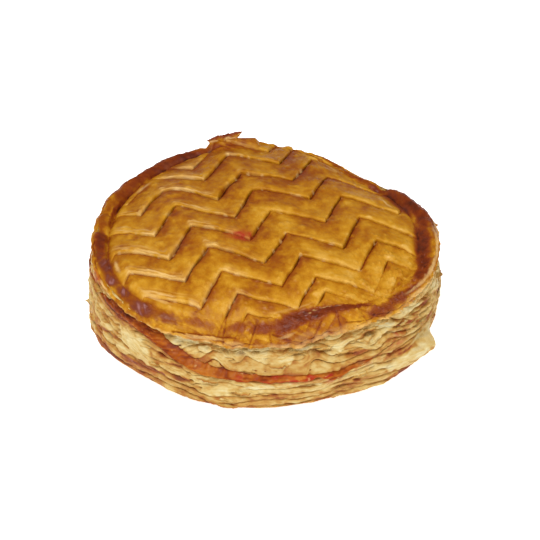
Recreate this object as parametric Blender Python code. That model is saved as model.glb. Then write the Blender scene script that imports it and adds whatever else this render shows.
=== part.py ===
"""Small round galette des rois of puff pastry. Metres, +Z up, resting at z = 0, front towards -Y."""

import math

import bmesh
import bpy
import numpy as np
from mathutils import Vector

MM = 0.001
TURN = 2 * math.pi
STEPS = 64  # points round every ring

# Each table goes round from +X, anticlockwise, in equal steps of 22.5 degrees, in mm.
RIDGE_RADIUS = [58.3, 54.2, 48.6, 51.7, 56.6, 58.6, 59.5, 60.6]
RIDGE_RADIUS += [59.6, 60.3, 56.7, 50.3, 47.3, 46.5, 53.5, 59.9]
RIDGE_HEIGHT = [31.8, 31.2, 29.4, 30.0, 30.3, 30.2, 30.0, 29.8]
RIDGE_HEIGHT += [28.8, 27.1, 24.8, 22.7, 23.6, 27.0, 28.6, 30.6]
LIP_HEIGHT = [2.0, 2.2, 1.2, 0.5, 0.3, 1.0, 2.2, 2.6, 2.4, 1.6, 0.6, 0.3, 0.2, 0.8, 1.6, 1.8]
SKIN_RADIUS = [61.2, 57.6, 51.6, 54.2, 59.2, 61.3, 62.0, 62.6]
SKIN_RADIUS += [62.2, 63.2, 59.0, 52.7, 51.3, 52.9, 57.2, 61.2]
SKIN_HEIGHT = [27.5, 27.0, 25.5, 25.5, 26.0, 26.0, 25.5, 25.0]
SKIN_HEIGHT += [24.5, 22.9, 21.5, 19.6, 19.1, 21.7, 24.1, 26.0]
FOOT_RADIUS = [60.2, 56.5, 50.8, 53.3, 57.1, 59.7, 60.3, 60.8]
FOOT_RADIUS += [60.8, 58.0, 55.5, 52.5, 51.0, 53.5, 57.5, 60.3]
SEAM_RADIUS = [61.8, 58.0, 52.3, 54.8, 58.6, 61.2, 61.8, 62.3]
SEAM_RADIUS += [62.6, 59.6, 57.3, 56.9, 56.7, 58.0, 59.6, 62.0]
SEAM_HEIGHT = [15.5, 15.0, 14.0, 13.5, 13.0, 13.0, 13.5, 14.5]
SEAM_HEIGHT += [17.5, 18.2, 15.8, 12.2, 12.0, 11.9, 14.5, 16.3]
BASE_RADIUS = [60.8, 57.5, 52.0, 54.5, 58.2, 60.8, 61.3, 61.8]
BASE_RADIUS += [62.6, 62.3, 57.3, 56.5, 57.1, 56.1, 58.8, 60.2]

# Domed lid
CROWN = 34.5  # top of the dome
VALLEY = 0.92  # the dome meets the raised lip at this share of the ridge radius
DOME_SHARES = [0.97, 0.88, 0.77, 0.64, 0.5, 0.34, 0.17]
SKIN_TUCK = 1.5  # how far the cut edge turns in under the browned skin
SKIN_BELLY = 0.9  # bulge of the rolled skin between the ridge and its lower edge

# Filling layer
CORE_HEIGHT = 13.5  # middle of the filling layer at the centre
FILLING = 3.0
GAP = 0.3
INNER_SHARES = [0.4, 0.72]
EDGE_SET_BACK = 0.9
EDGE_WAVES = 16
EDGE_WAVE = 0.45

# Leaves of pastry that show round the side
LID_LEAVES = 4
BASE_LEAVES = 4
LEAF_PROUD = 0.7
LEAF_THICK = 0.55  # share of the spacing that a leaf takes, and the gap under it has the rest
LEAF_WAVES = 24
LEAF_LIFT = 0.1  # each leaf's own rise and fall, as a share of the spacing
LEAF_SWEEP = 0.16  # all leaves' common rise and fall, as a share of the side's height
FLAT_SET_BACK = 1.2  # the flat underside ends this far inside the lowest leaf

# Chevrons scored across the lid: plan positions in mm
FIRST_VALLEY = np.array([-5.9, -9.3])
LINE_STEP = np.array([5.6, -12.6])  # from one line to the next
LINE_BEND = np.array([0.0, 0.23])  # the lines close up towards the front
PERIOD = np.array([26.6, 9.0])  # from one valley of a line to its next valley
RISE = np.array([6.7, 17.3])  # from a valley to the peak after it
LINES = range(-5, 5)
PERIODS = range(-4, 4)
STROKE_PARTS = 4
CUT_RADIUS = 1.1
CUT_SINK = 0.35  # the cut's middle lies this far under the surface
CUT_REACH = 0.95  # share of the ridge radius where the cuts stop
FRONT_REACH = 1.0  # the same at the front, where they run out over the edge
FRONT_FROM, FRONT_TO = math.radians(235), math.radians(305)

# Flakes, as rows from inside the body outwards: (degrees, radius, height) in mm
BACK_FLAKE = [
    [(94, 52, 27.5), (100, 53, 27.5), (106, 54, 27.5), (112, 55, 27.5), (117, 55, 27)],
    [(94, 56, 31.5), (100, 57.5, 33), (106, 58.5, 33.5), (112, 59, 32), (117, 59, 30.5)],
    [(95, 57.5, 32), (100, 60, 35), (105, 61, 35.5), (111, 61.5, 33.5), (117, 61.5, 31)],
]
CORNER_FLAKE = [
    [(-22, 58, 7), (-26, 58, 6.5), (-30, 57, 5.5), (-34, 56, 4.5), (-38, 55, 3.5)],
    [(-22, 63, 8.5), (-26, 63.5, 8), (-30, 62.5, 6.5), (-34, 61, 5), (-38, 59, 3.5)],
    [(-24, 64.5, 9), (-27, 66.5, 8.5), (-30, 66.5, 7), (-33, 65.5, 5), (-37, 61, 3.5)],
]
FLAKE_THICK = 1.2

# One finish per solid: (red, green, blue), roughness
LID_FINISH = (0.47, 0.20, 0.032), 0.32
FILLING_FINISH = (0.42, 0.11, 0.022), 0.3
BASE_FINISH = (0.62, 0.45, 0.2), 0.62


def around(values, angles):
    """Smooth closed curve through equally spaced values."""
    table = np.asarray(values, float)
    place = (np.asarray(angles, float) % TURN) / TURN * len(table)
    start = np.floor(place).astype(int)
    part = place - start
    a, b, c, d = (table[(start + k) % len(table)] for k in (-1, 0, 1, 2))
    steep = 3 * (b - c) + d - a
    return b + 0.5 * part * (c - a + part * (2 * a - 5 * b + 4 * c - d + part * steep))


ANGLES = np.arange(STEPS) / STEPS * TURN


def table_ring(values):
    return around(values, ANGLES)


def ring(radius, height):
    """Points of one ring, from radii and heights in mm."""
    radius = np.broadcast_to(radius, STEPS)
    height = np.broadcast_to(height, STEPS)
    return np.stack([radius * np.cos(ANGLES), radius * np.sin(ANGLES), height], 1) * MM


def waves(count, generator):
    """A smooth wave from -1 to 1 round the side."""
    return np.clip(around(generator.uniform(-1, 1, count), ANGLES), -1, 1)


def leaf_rings(low, high, leaves, belly, generator):
    """Rings of stacked leaves from the low edge up to the high edge, both (radius, height)."""
    rings = []
    sweep = LEAF_SWEEP * waves(LEAF_WAVES // 3, generator)
    for leaf in range(leaves):
        proud = LEAF_PROUD * (0.5 + 0.9 * waves(LEAF_WAVES, generator))
        lift = LEAF_LIFT * waves(LEAF_WAVES // 2, generator)
        spots = (0.1, proud), (LEAF_THICK, proud), (LEAF_THICK + 0.25, -LEAF_PROUD * 0.6)
        for place, offset in spots:
            share = (leaf + place + lift) / leaves
            share = share + sweep * np.sin(math.pi * np.clip(share, 0, 1))
            radius = low[0] + (high[0] - low[0]) * share
            radius = radius + belly * np.sin(math.pi * np.clip(share, 0, 1)) + offset
            rings.append(ring(radius, low[1] + (high[1] - low[1]) * share))
    return rings


def body(name, rings, low_pole, high_pole, finish, collection):
    """Skins the rings, from the lowest to the highest, into one closed body."""
    mesh = bmesh.new()
    loops = [[mesh.verts.new(point) for point in points] for points in rings]
    for lower, upper in zip(loops, loops[1:]):
        for i in range(STEPS):
            j = (i + 1) % STEPS
            mesh.faces.new((lower[i], lower[j], upper[j], upper[i]))
    for height, loop in ((low_pole, loops[0][::-1]), (high_pole, loops[-1])):
        pole = mesh.verts.new((0, 0, height * MM))
        for i in range(STEPS):
            mesh.faces.new((loop[i], loop[(i + 1) % STEPS], pole))
    return add_object(name, mesh, finish, collection)


def add_object(name, mesh, finish, collection):
    data = bpy.data.meshes.new(name)
    mesh.to_mesh(data)
    mesh.free()
    thing = bpy.data.objects.new(name, data)
    collection.objects.link(thing)
    if finish:
        colour, roughness = finish
        material = bpy.data.materials.new(name)
        material.use_nodes = True
        shader = material.node_tree.nodes["Principled BSDF"]
        shader.inputs["Base Color"].default_value = (*colour, 1)
        shader.inputs["Roughness"].default_value = roughness
        shader.inputs["Metallic"].default_value = 0
        data.materials.append(material)
    return thing


def flake(name, rows, collection):
    """Thin bent plate through the rows of points, thickened downwards."""
    mesh = bmesh.new()
    grid = []
    for row in rows:
        points = [(math.radians(degrees), radius, height) for degrees, radius, height in row]
        grid.append(
            [mesh.verts.new(Vector((r * math.cos(a), r * math.sin(a), h)) * MM) for a, r, h in points]
        )
    faces = []
    for inner, outer in zip(grid, grid[1:]):
        for i in range(len(inner) - 1):
            faces.append(mesh.faces.new((inner[i], outer[i], outer[i + 1], inner[i + 1])))
    bmesh.ops.recalc_face_normals(mesh, faces=faces)
    bmesh.ops.solidify(mesh, geom=faces, thickness=FLAKE_THICK * MM)
    bmesh.ops.recalc_face_normals(mesh, faces=mesh.faces)
    return add_object(name, mesh, None, collection)


def top_height(x, y):
    """Height of the lid over a plan point, in mm."""
    radius = math.hypot(x, y)
    angle = math.atan2(y, x)
    ridge = around(RIDGE_RADIUS, angle)
    lip = around(LIP_HEIGHT, angle)
    share = radius / ridge
    valley = around(RIDGE_HEIGHT, angle) - lip
    if share < VALLEY:
        return float(dome_height(share / VALLEY, valley))
    climb = min((share - VALLEY) / (1 - VALLEY), 1)
    return float(valley + lip * climb * climb * (3 - 2 * climb))


def dome_height(share, valley):
    return valley + (CROWN - valley) * (1 - np.power(share, 2.4)) ** 0.75


def in_reach(x, y):
    angle = math.atan2(y, x) % TURN
    reach = FRONT_REACH if FRONT_FROM < angle < FRONT_TO else CUT_REACH
    return math.hypot(x, y) < reach * around(RIDGE_RADIUS, angle)


def chevron_runs():
    """Runs of plan points along each scored line, where it crosses the lid."""
    runs = []
    for line in LINES:
        start = FIRST_VALLEY + line * LINE_STEP + line * line * LINE_BEND
        corners = []
        for count in PERIODS:
            corners += [start + count * PERIOD, start + count * PERIOD + RISE]
        points = []
        for tail, head in zip(corners, corners[1:]):
            points += [tail + (head - tail) * k / STROKE_PARTS for k in range(STROKE_PARTS)]
        run = []
        for point in points:
            if in_reach(*point):
                run.append(point)
            elif run:
                runs.append(run)
                run = []
    return [run for run in runs if len(run) > 2]


def chevron_cutter(collection):
    """Four-sided tubes that follow the scored lines just under the lid's surface."""
    curve = bpy.data.curves.new("chevron_paths", "CURVE")
    curve.dimensions = "3D"
    curve.bevel_depth = CUT_RADIUS * MM
    curve.bevel_resolution = 0
    curve.use_fill_caps = True
    for run in chevron_runs():
        spline = curve.splines.new("POLY")
        spline.points.add(len(run) - 1)
        for spot, (x, y) in zip(spline.points, run):
            spot.co = (x * MM, y * MM, (top_height(x, y) - CUT_SINK) * MM, 1)
    path = bpy.data.objects.new("chevron_paths", curve)
    collection.objects.link(path)
    graph = bpy.context.evaluated_depsgraph_get()
    graph.update()
    tubes = bmesh.new()
    tubes.from_mesh(bpy.data.meshes.new_from_object(path.evaluated_get(graph)))
    bmesh.ops.remove_doubles(tubes, verts=tubes.verts, dist=0.00001)
    bmesh.ops.recalc_face_normals(tubes, faces=tubes.faces)
    bpy.data.objects.remove(path)
    return add_object("chevron_cuts", tubes, None, collection)


def combine(thing, other, operation):
    step = thing.modifiers.new(other.name, "BOOLEAN")
    step.operation = operation
    step.solver = "EXACT"
    step.object = other


def layer_rings(radius, offset):
    """Inner rings of the surface at this offset from the middle of the filling layer."""
    edge = table_ring(SEAM_HEIGHT)
    heights = [CORE_HEIGHT + (edge - CORE_HEIGHT) * share**2 for share in INNER_SHARES]
    return [
        ring(radius * share, height + offset) for share, height in zip(INNER_SHARES, heights)
    ]


for thing in list(bpy.data.objects):
    bpy.data.objects.remove(thing)
galette = bpy.data.collections.new("galette_des_rois")
cutters = bpy.data.collections.new("cutters")
for group in (galette, cutters):
    bpy.context.scene.collection.children.link(group)

seam = table_ring(SEAM_HEIGHT)
seam_radius = table_ring(SEAM_RADIUS)
ledge = np.minimum(table_ring(FOOT_RADIUS), seam_radius - EDGE_SET_BACK)
half = FILLING / 2

# Base: flat underside, leaves up the side, top that carries the filling
base_top = seam - half
base_radius = table_ring(BASE_RADIUS)
base_side = leaf_rings(
    (base_radius, 0.9), (seam_radius - 0.3, base_top - 0.5), BASE_LEAVES, 0, np.random.default_rng(3)
)
base = body(
    "base_pastry",
    [ring(base_radius - FLAT_SET_BACK, 0), *base_side, ring(seam_radius - 0.3, base_top)]
    + layer_rings(seam_radius - 0.3, -half)[::-1],
    0,
    CORE_HEIGHT - half,
    BASE_FINISH,
    galette,
)

# Filling: thin layer right through, with a rounded edge that stands out at the seam
edge_wave = EDGE_WAVE * waves(EDGE_WAVES, np.random.default_rng(7))
filling_edge = [
    ring(seam_radius - 0.3, seam - half + GAP),
    ring(seam_radius + 0.1 + edge_wave, seam - 0.4 * half),
    ring(seam_radius - 0.1 + edge_wave, seam + 0.4 * half),
    ring(seam_radius - EDGE_SET_BACK + 0.5 * edge_wave, seam + half - 0.2),
    ring(ledge - 0.3, seam + half),
]
body(
    "filling",
    layer_rings(seam_radius - 0.3, GAP - half)
    + filling_edge
    + layer_rings(ledge - 0.3, half)[::-1],
    CORE_HEIGHT - half + GAP,
    CORE_HEIGHT + half,
    FILLING_FINISH,
    galette,
)

# Lid: leaves, browned skin rolled over the edge, raised lip, dome
lid_low = seam + half + GAP
skin_radius = table_ring(SKIN_RADIUS)
skin_height = table_ring(SKIN_HEIGHT)
ridge_radius = table_ring(RIDGE_RADIUS)
ridge_height = table_ring(RIDGE_HEIGHT)
valley_height = ridge_height - table_ring(LIP_HEIGHT)
lid_side = leaf_rings(
    (ledge - 0.3, lid_low + 0.2),
    (skin_radius - SKIN_TUCK, skin_height - 0.4),
    LID_LEAVES,
    -0.5,
    np.random.default_rng(11),
)
lid_skin = [
    ring(skin_radius - SKIN_TUCK, skin_height - 0.1),
    ring(skin_radius, skin_height),
    ring(
        0.5 * (skin_radius + ridge_radius) + SKIN_BELLY,
        0.5 * (skin_height + ridge_height) + SKIN_BELLY,
    ),
    ring(ridge_radius, ridge_height),
    ring(ridge_radius * (1 + VALLEY) / 2, 0.5 * (ridge_height + valley_height)),
    ring(ridge_radius * VALLEY, valley_height),
]
lid_dome = [
    ring(ridge_radius * VALLEY * share, dome_height(share, valley_height))
    for share in DOME_SHARES
]
lid = body(
    "lid_pastry",
    layer_rings(ledge - 0.3, half + GAP)
    + [ring(ledge - 0.3, lid_low), *lid_side, *lid_skin, *lid_dome],
    CORE_HEIGHT + half + GAP,
    CROWN,
    LID_FINISH,
    galette,
)

cutters.hide_render = True
shapes = chevron_cutter(cutters), flake("back_flake", BACK_FLAKE, cutters)
corner = flake("corner_flake", CORNER_FLAKE, cutters)
for helper in cutters.objects:
    helper.hide_render = True
    helper.display_type = "WIRE"
combine(lid, shapes[0], "DIFFERENCE")
combine(lid, shapes[1], "UNION")
combine(base, corner, "UNION")
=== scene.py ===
import math

import bmesh
import bpy
import numpy as np
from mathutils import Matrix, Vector


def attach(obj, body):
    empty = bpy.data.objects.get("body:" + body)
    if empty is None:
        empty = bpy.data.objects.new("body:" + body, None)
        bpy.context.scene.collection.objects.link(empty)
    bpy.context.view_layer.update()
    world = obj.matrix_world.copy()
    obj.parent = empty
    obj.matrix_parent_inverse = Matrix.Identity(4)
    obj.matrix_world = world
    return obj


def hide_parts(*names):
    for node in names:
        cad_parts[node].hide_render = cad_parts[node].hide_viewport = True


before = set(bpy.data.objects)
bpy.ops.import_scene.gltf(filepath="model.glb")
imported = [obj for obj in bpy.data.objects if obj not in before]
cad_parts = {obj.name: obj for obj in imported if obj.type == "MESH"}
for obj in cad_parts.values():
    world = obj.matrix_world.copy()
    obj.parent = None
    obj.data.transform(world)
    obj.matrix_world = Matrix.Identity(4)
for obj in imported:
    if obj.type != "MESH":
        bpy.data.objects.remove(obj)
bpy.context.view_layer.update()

toMetres = 0.001  # every size below is in mm until the mesh is made
turn = 2 * math.pi
meanRadius = 58.0  # noise on the side is read on this circle, so that it closes
mmPerDegree = {"rim": 1.01, "side": 1.012}  # length of one degree there

# the cake's plan and side, a value every 22.5 degrees from +X, anticlockwise, in mm
outline = {
    "ridgeRadius": [
        58.3, 54.2, 48.6, 51.7, 56.6, 58.6, 59.3, 60.2, 59.6, 60.3, 56.7, 50.3, 47.3, 46.5, 53.5, 59.9,
    ],
    "ridgeHeight": [
        31.8, 31.2, 29.7, 30.5, 30.3, 30.7, 29.7, 29.5, 28.8, 27.1, 24.8, 22.7, 23.6, 27.0, 28.6, 30.6,
    ],
    "lipHeight": [2.0, 2.2, 1.2, 0.5, 0.3, 1.0, 2.2, 2.6, 2.4, 1.6, 0.6, 0.3, 0.2, 0.8, 1.6, 1.8],
    "skinRadius": [
        61.6, 57.6, 51.6, 54.2, 59.2, 61.3, 61.8, 62.2, 62.2, 63.2, 59.0, 52.7, 51.3, 52.9, 57.2, 61.2,
    ],
    "skinHeight": [
        27.5, 27.0, 25.5, 25.5, 26.0, 26.0, 25.5, 25.0, 24.5, 22.9, 21.5, 19.6, 19.1, 21.7, 24.1, 26.0,
    ],
    "footRadius": [
        60.5, 56.5, 50.8, 53.3, 57.1, 59.7, 60.3, 60.8, 61.3, 58.6, 55.5, 52.5, 51.0, 53.5, 57.5, 60.3,
    ],
    "seamRadius": [
        62.1, 58.0, 52.3, 54.8, 58.6, 61.2, 61.8, 62.3, 63.1, 60.3, 57.3, 56.9, 56.7, 58.0, 59.8, 62.5,
    ],
    "seamHeight": [
        15.5, 15.0, 14.0, 13.5, 13.0, 13.0, 13.5, 14.5, 17.5, 18.2, 15.8, 12.2, 12.0, 11.9, 14.5, 16.3,
    ],
    "baseRadius": [
        60.8, 57.5, 52.0, 54.5, 58.2, 60.8, 61.3, 61.8, 63.0, 62.9, 57.3, 56.5, 57.1, 56.1, 58.8, 60.2,
    ],
    "crown": 34.5,  # top of the dome
    "domePower": 2.9,  # how flat the dome is on top
    "plainPower": 3.3,  # the same where it runs on to the ridge
    # the dome meets the lip at this share of the ridge radius
    "valley": [
        0.9, 0.935, 0.955, 0.965, 0.96, 0.95, 0.945, 0.93, 0.925, 0.915, 0.91, 0.92, 0.925, 0.93, 0.94,
        0.895,
    ],
    "core": 13.5,  # middle of the filling at the centre
}


def catmullRom(a, b, c, d, t):
    # cubic from b to c whose slopes are half of c - a and half of d - b
    return b + 0.5 * t * (c - a + t * (2 * a - 5 * b + 4 * c - d + t * (3 * (b - c) + d - a)))


def closedCurve(values, angle):
    # Catmull-Rom through equally spaced values, closed on itself
    table = np.asarray(values, float)
    spot = (np.asarray(angle, float) % turn) / turn * len(table)
    start = np.floor(spot).astype(int)
    near = [table[(start + k) % len(table)] for k in (-1, 0, 1, 2)]
    return catmullRom(*near, spot - start)


def along(key, angle):
    # one of the outline's curves, read at an angle
    return closedCurve(outline[key], angle)


def smoothStep(low, high, value):
    # 0 up to low, 1 from high on, and 3t^2 - 2t^3 between them
    t = np.clip((value - low) / (high - low), 0, 1)
    return t * t * (3 - 2 * t)


def hill(value, centre, width):
    # one bell: exp of minus the squared distance over the squared width
    return np.exp(-(((value - centre) / width) ** 2))


def degreesApart(angle, degrees):
    # signed gap in degrees, the short way round
    return (np.degrees(angle) - degrees + 180) % 360 - 180


def mmAside(angle, degrees):
    # the same gap as a length on the side
    return degreesApart(angle, degrees) * mmPerDegree["side"]


def noiseSpot(angle):
    # plan point on the mean circle
    return meanRadius * np.cos(angle), meanRadius * np.sin(angle)


def lattice(ix, iy, iz, seed):
    # a fixed random number from 0 to 1 for each whole-number cell
    n = (ix * 374761393 + iy * 668265263 + iz * 2147483647 + seed * 1274126177) & 0xFFFFFFFF
    n = ((n ^ (n >> 13)) * 1274126177) & 0xFFFFFFFF
    n = ((n ^ (n >> 16)) * 2246822519) & 0xFFFFFFFF
    return ((n ^ (n >> 15)) & 0xFFFFFF) / float(0xFFFFFF)


def softNoise(x, y, z, seed):
    # lattice numbers blended by quintic weights in three directions, from -1 to 1
    x, y, z = np.broadcast_arrays(*(np.asarray(v, float) for v in (x, y, z)))
    cells = [np.floor(v).astype(np.int64) for v in (x, y, z)]
    parts = [v - c for v, c in zip((x, y, z), cells)]
    wx, wy, wz = (t * t * t * (t * (t * 6 - 15) + 10) for t in parts)
    total = 0.0
    for dx in (0, 1):
        for dy in (0, 1):
            for dz in (0, 1):
                weight = (wx if dx else 1 - wx) * (wy if dy else 1 - wy) * (wz if dz else 1 - wz)
                total = total + weight * lattice(cells[0] + dx, cells[1] + dy, cells[2] + dz, seed)
    return total * 2 - 1


def cloud(x, y, z, seed, octaves=3):
    # soft noise summed at doubled frequency and halved strength
    total, size = 0.0, 1.0
    for k in range(octaves):
        total = total + size * softNoise(x * 2**k, y * 2**k, z * 2**k, seed + 17 * k)
        size *= 0.5
    return total / (2 - 2 * size)


def blisters(x, y, cell, seed, share):
    # round caps: in each square cell a random centre and radius, kept for this share of the cells
    cx, cy = np.floor(x / cell).astype(np.int64), np.floor(y / cell).astype(np.int64)
    best = np.zeros_like(x, float)
    for dx in (-1, 0, 1):
        for dy in (-1, 0, 1):
            ix, iy = cx + dx, cy + dy
            px = (ix + lattice(ix, iy, 1, seed)) * cell
            py = (iy + lattice(ix, iy, 2, seed)) * cell
            radius = cell * (0.15 + 0.35 * lattice(ix, iy, 3, seed))
            cap = np.clip(1 - ((x - px) ** 2 + (y - py) ** 2) / radius**2, 0, 1)
            best = np.maximum(best, cap * radius * (lattice(ix, iy, 4, seed) < share))
    return best


def ringFaces(rows, columns, closeRows=False):
    # quads of a grid that closes round its columns, and round its rows if asked;
    # they face out when the rows climb and the columns go anticlockwise
    r = np.arange(rows if closeRows else rows - 1)[:, None]
    c = np.arange(columns)[None]
    up, side = (r + 1) % rows, (c + 1) % columns
    corners = (r * columns + c, r * columns + side, up * columns + side, up * columns + c)
    return np.stack([corner.ravel() for corner in np.broadcast_arrays(*corners)], 1)


def meshPiece(name, points, faces, marks, finish):
    # points in mm and faces into a smooth mesh object, with each mark as a number on every vertex
    data = bpy.data.meshes.new(name)
    data.materials.append(finish)
    data.from_pydata((points.reshape(-1, 3) * toMetres).tolist(), [], [list(f) for f in faces])
    for key, values in marks.items():
        layer = data.attributes.new(key, "FLOAT", "POINT")
        layer.data.foreach_set("value", np.asarray(values, np.float32).ravel())
    data.polygons.foreach_set("use_smooth", np.ones(len(data.polygons), bool))
    data.update()
    piece = bpy.data.objects.new(name, data)
    bpy.context.scene.collection.objects.link(piece)
    return piece


def place(radius, angle, height):
    # cylinder coordinates to points: radius times cos and sin of the angle, and the height
    radius, angle, height = np.broadcast_arrays(radius, angle, height)
    return np.stack([radius * np.cos(angle), radius * np.sin(angle), height], -1)


def padRows(values, angle, count, end):
    # one value for every column of some hidden rows, added after the rows that show
    return np.concatenate([values + 0 * angle, np.full((count, angle.size), end)])


def linear(red, green, blue):
    # display colour, 0 to 255, to scene colour
    shares = [value / 255 for value in (red, green, blue)]
    return tuple(((s + 0.055) / 1.055) ** 2.4 if s > 0.04045 else s / 12.92 for s in shares)


def newGroup(name, inputs, outputs):
    # shader node group with named sockets: label, kind and, for an input, its start value
    group = bpy.data.node_groups.new(name, "ShaderNodeTree")
    for label, kind, start in inputs:
        socket = group.interface.new_socket(label, in_out="INPUT", socket_type=kind)
        if start is not None:
            socket.default_value = start
    for label, kind in outputs:
        group.interface.new_socket(label, in_out="OUTPUT", socket_type=kind)
    return group, group.nodes.new("NodeGroupInput"), group.nodes.new("NodeGroupOutput")


def mathNode(tree, operation, first, second=None, clamp=False):
    node = tree.nodes.new("ShaderNodeMath")
    node.operation = operation
    node.use_clamp = clamp
    for slot, value in enumerate((first, second)):
        if isinstance(value, bpy.types.NodeSocket):
            tree.links.new(value, node.inputs[slot])
        elif value is not None:
            node.inputs[slot].default_value = value
    return node.outputs[0]


def mixNode(tree, factor, first, second, blend="MIX"):
    node = tree.nodes.new("ShaderNodeMix")
    node.data_type = "RGBA"
    node.blend_type = blend
    for slot, value in ((0, factor), (6, first), (7, second)):
        if isinstance(value, bpy.types.NodeSocket):
            tree.links.new(value, node.inputs[slot])
        else:
            node.inputs[slot].default_value = value if slot == 0 else (*value, 1)
    return node.outputs[2]


def rampNode(tree, factor, stops):
    node = tree.nodes.new("ShaderNodeValToRGB")
    ramp = node.color_ramp
    while len(ramp.elements) < len(stops):
        ramp.elements.new(0.5)
    for element, (spot, colour) in zip(ramp.elements, stops):
        element.position = spot
        element.color = (*linear(*colour), 1)
    tree.links.new(factor, node.inputs[0])
    return node.outputs[0]


def noiseNode(tree, vector, scale, detail=3, rough=0.55):
    node = tree.nodes.new("ShaderNodeTexNoise")
    node.inputs["Scale"].default_value = scale
    node.inputs["Detail"].default_value = detail
    node.inputs["Roughness"].default_value = rough
    tree.links.new(vector, node.inputs["Vector"])
    return node.outputs["Fac"]


def attributeNode(tree, key):
    node = tree.nodes.new("ShaderNodeAttribute")
    node.attribute_name = key
    return node.outputs["Fac"]


def stretch(tree, vector, scale):
    node = tree.nodes.new("ShaderNodeMapping")
    node.inputs["Scale"].default_value = scale
    tree.links.new(vector, node.inputs["Vector"])
    return node.outputs[0]


bakedLook = {  # noise cells in a metre
    "broad": 190,
    "fine": 900,
    "grain": 1500,
    "pits": 700,
}


def mottleGroup():
    # broad and fine noise round zero, each at its own strength
    inputs = [
        ("Vector", "NodeSocketVector", None),
        ("Broad", "NodeSocketFloat", 0.1),
        ("Fine", "NodeSocketFloat", 0.05),
        ("Offset", "NodeSocketFloat", 0.0),
    ]
    group, inp, out = newGroup("bakedMottle", inputs, [("Mottle", "NodeSocketFloat")])
    shift = group.nodes.new("ShaderNodeVectorMath")
    group.links.new(inp.outputs["Vector"], shift.inputs[0])
    group.links.new(inp.outputs["Offset"], shift.inputs[1])
    broad = mathNode(group, "SUBTRACT", noiseNode(group, shift.outputs[0], bakedLook["broad"], 2), 0.5)
    fine = mathNode(group, "SUBTRACT", noiseNode(group, shift.outputs[0], bakedLook["fine"], 3), 0.5)
    broad = mathNode(group, "MULTIPLY", broad, inp.outputs["Broad"])
    fine = mathNode(group, "MULTIPLY", fine, inp.outputs["Fine"])
    group.links.new(mathNode(group, "ADD", broad, fine), out.inputs[0])
    return group


def crumbGroup():
    # height of a dry baked surface: fine grain with pinholes
    inputs = [
        ("Vector", "NodeSocketVector", None),
        ("Grain", "NodeSocketFloat", 1.0),
        ("Pits", "NodeSocketFloat", 0.5),
    ]
    group, inp, out = newGroup("bakedGrain", inputs, [("Height", "NodeSocketFloat")])
    grain = noiseNode(group, inp.outputs["Vector"], bakedLook["grain"], 4, 0.6)
    cells = group.nodes.new("ShaderNodeTexVoronoi")
    cells.inputs["Scale"].default_value = bakedLook["pits"]
    group.links.new(inp.outputs["Vector"], cells.inputs["Vector"])
    pits = mathNode(group, "SUBTRACT", 0.3, cells.outputs["Distance"], True)
    grain = mathNode(group, "MULTIPLY", grain, inp.outputs["Grain"])
    pits = mathNode(group, "MULTIPLY", pits, inp.outputs["Pits"])
    group.links.new(mathNode(group, "SUBTRACT", grain, pits), out.inputs[0])
    return group


bakedMottle = mottleGroup()
bakedGrain = crumbGroup()


def placeGroup(tree, group, **values):
    node = tree.nodes.new("ShaderNodeGroup")
    node.node_tree = group
    for key, value in values.items():
        if isinstance(value, bpy.types.NodeSocket):
            tree.links.new(value, node.inputs[key])
        else:
            node.inputs[key].default_value = value
    return node.outputs[0]


def newMaterial(name):
    material = bpy.data.materials.new(name)
    material.use_nodes = True
    tree = material.node_tree
    shader = tree.nodes["Principled BSDF"]
    coordinates = tree.nodes.new("ShaderNodeTexCoord").outputs["Object"]
    return material, tree, shader, coordinates


def bumpFrom(tree, height, distance, strength, shader):
    # height in the range 0 to 1, times a distance in metres, tilts the shading
    node = tree.nodes.new("ShaderNodeBump")
    node.inputs["Distance"].default_value = distance
    node.inputs["Strength"].default_value = strength
    tree.links.new(height, node.inputs["Height"])
    tree.links.new(node.outputs[0], shader.inputs["Normal"])


crustLook = {
    # skin from pale gold to nearly burnt
    "tones": [
        (0.0, (210, 162, 72)),
        (0.22, (190, 134, 31)),
        (0.4, (167, 106, 13)),
        (0.56, (143, 76, 9)),
        (0.72, (125, 54, 10)),
        (0.86, (106, 39, 7)),
        (1.0, (68, 24, 6)),
    ],
    # burnt caramel from a hint of it to thick; its lightest stop is a painted lavender sheen
    "sugarAndSheenTones": [
        (0.0, (114, 50, 24)),
        (0.5, (106, 50, 38)),
        (0.75, (118, 64, 56)),
        (1.0, (150, 100, 94)),
    ],
    # cream of the inner leaves, also used for painted highlight streaks
    "bareLeafAndGlint": (222, 184, 118),
    "jam": (160, 44, 26),
    "broad": 0.26,  # strength of the mottle
    "fine": 0.16,
    "leastRough": 0.24,
    "roughPlay": 0.35,
    "coatRough": 0.3,
    "specular": 0.06,
    "grainDepth": 0.00024,
}


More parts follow.
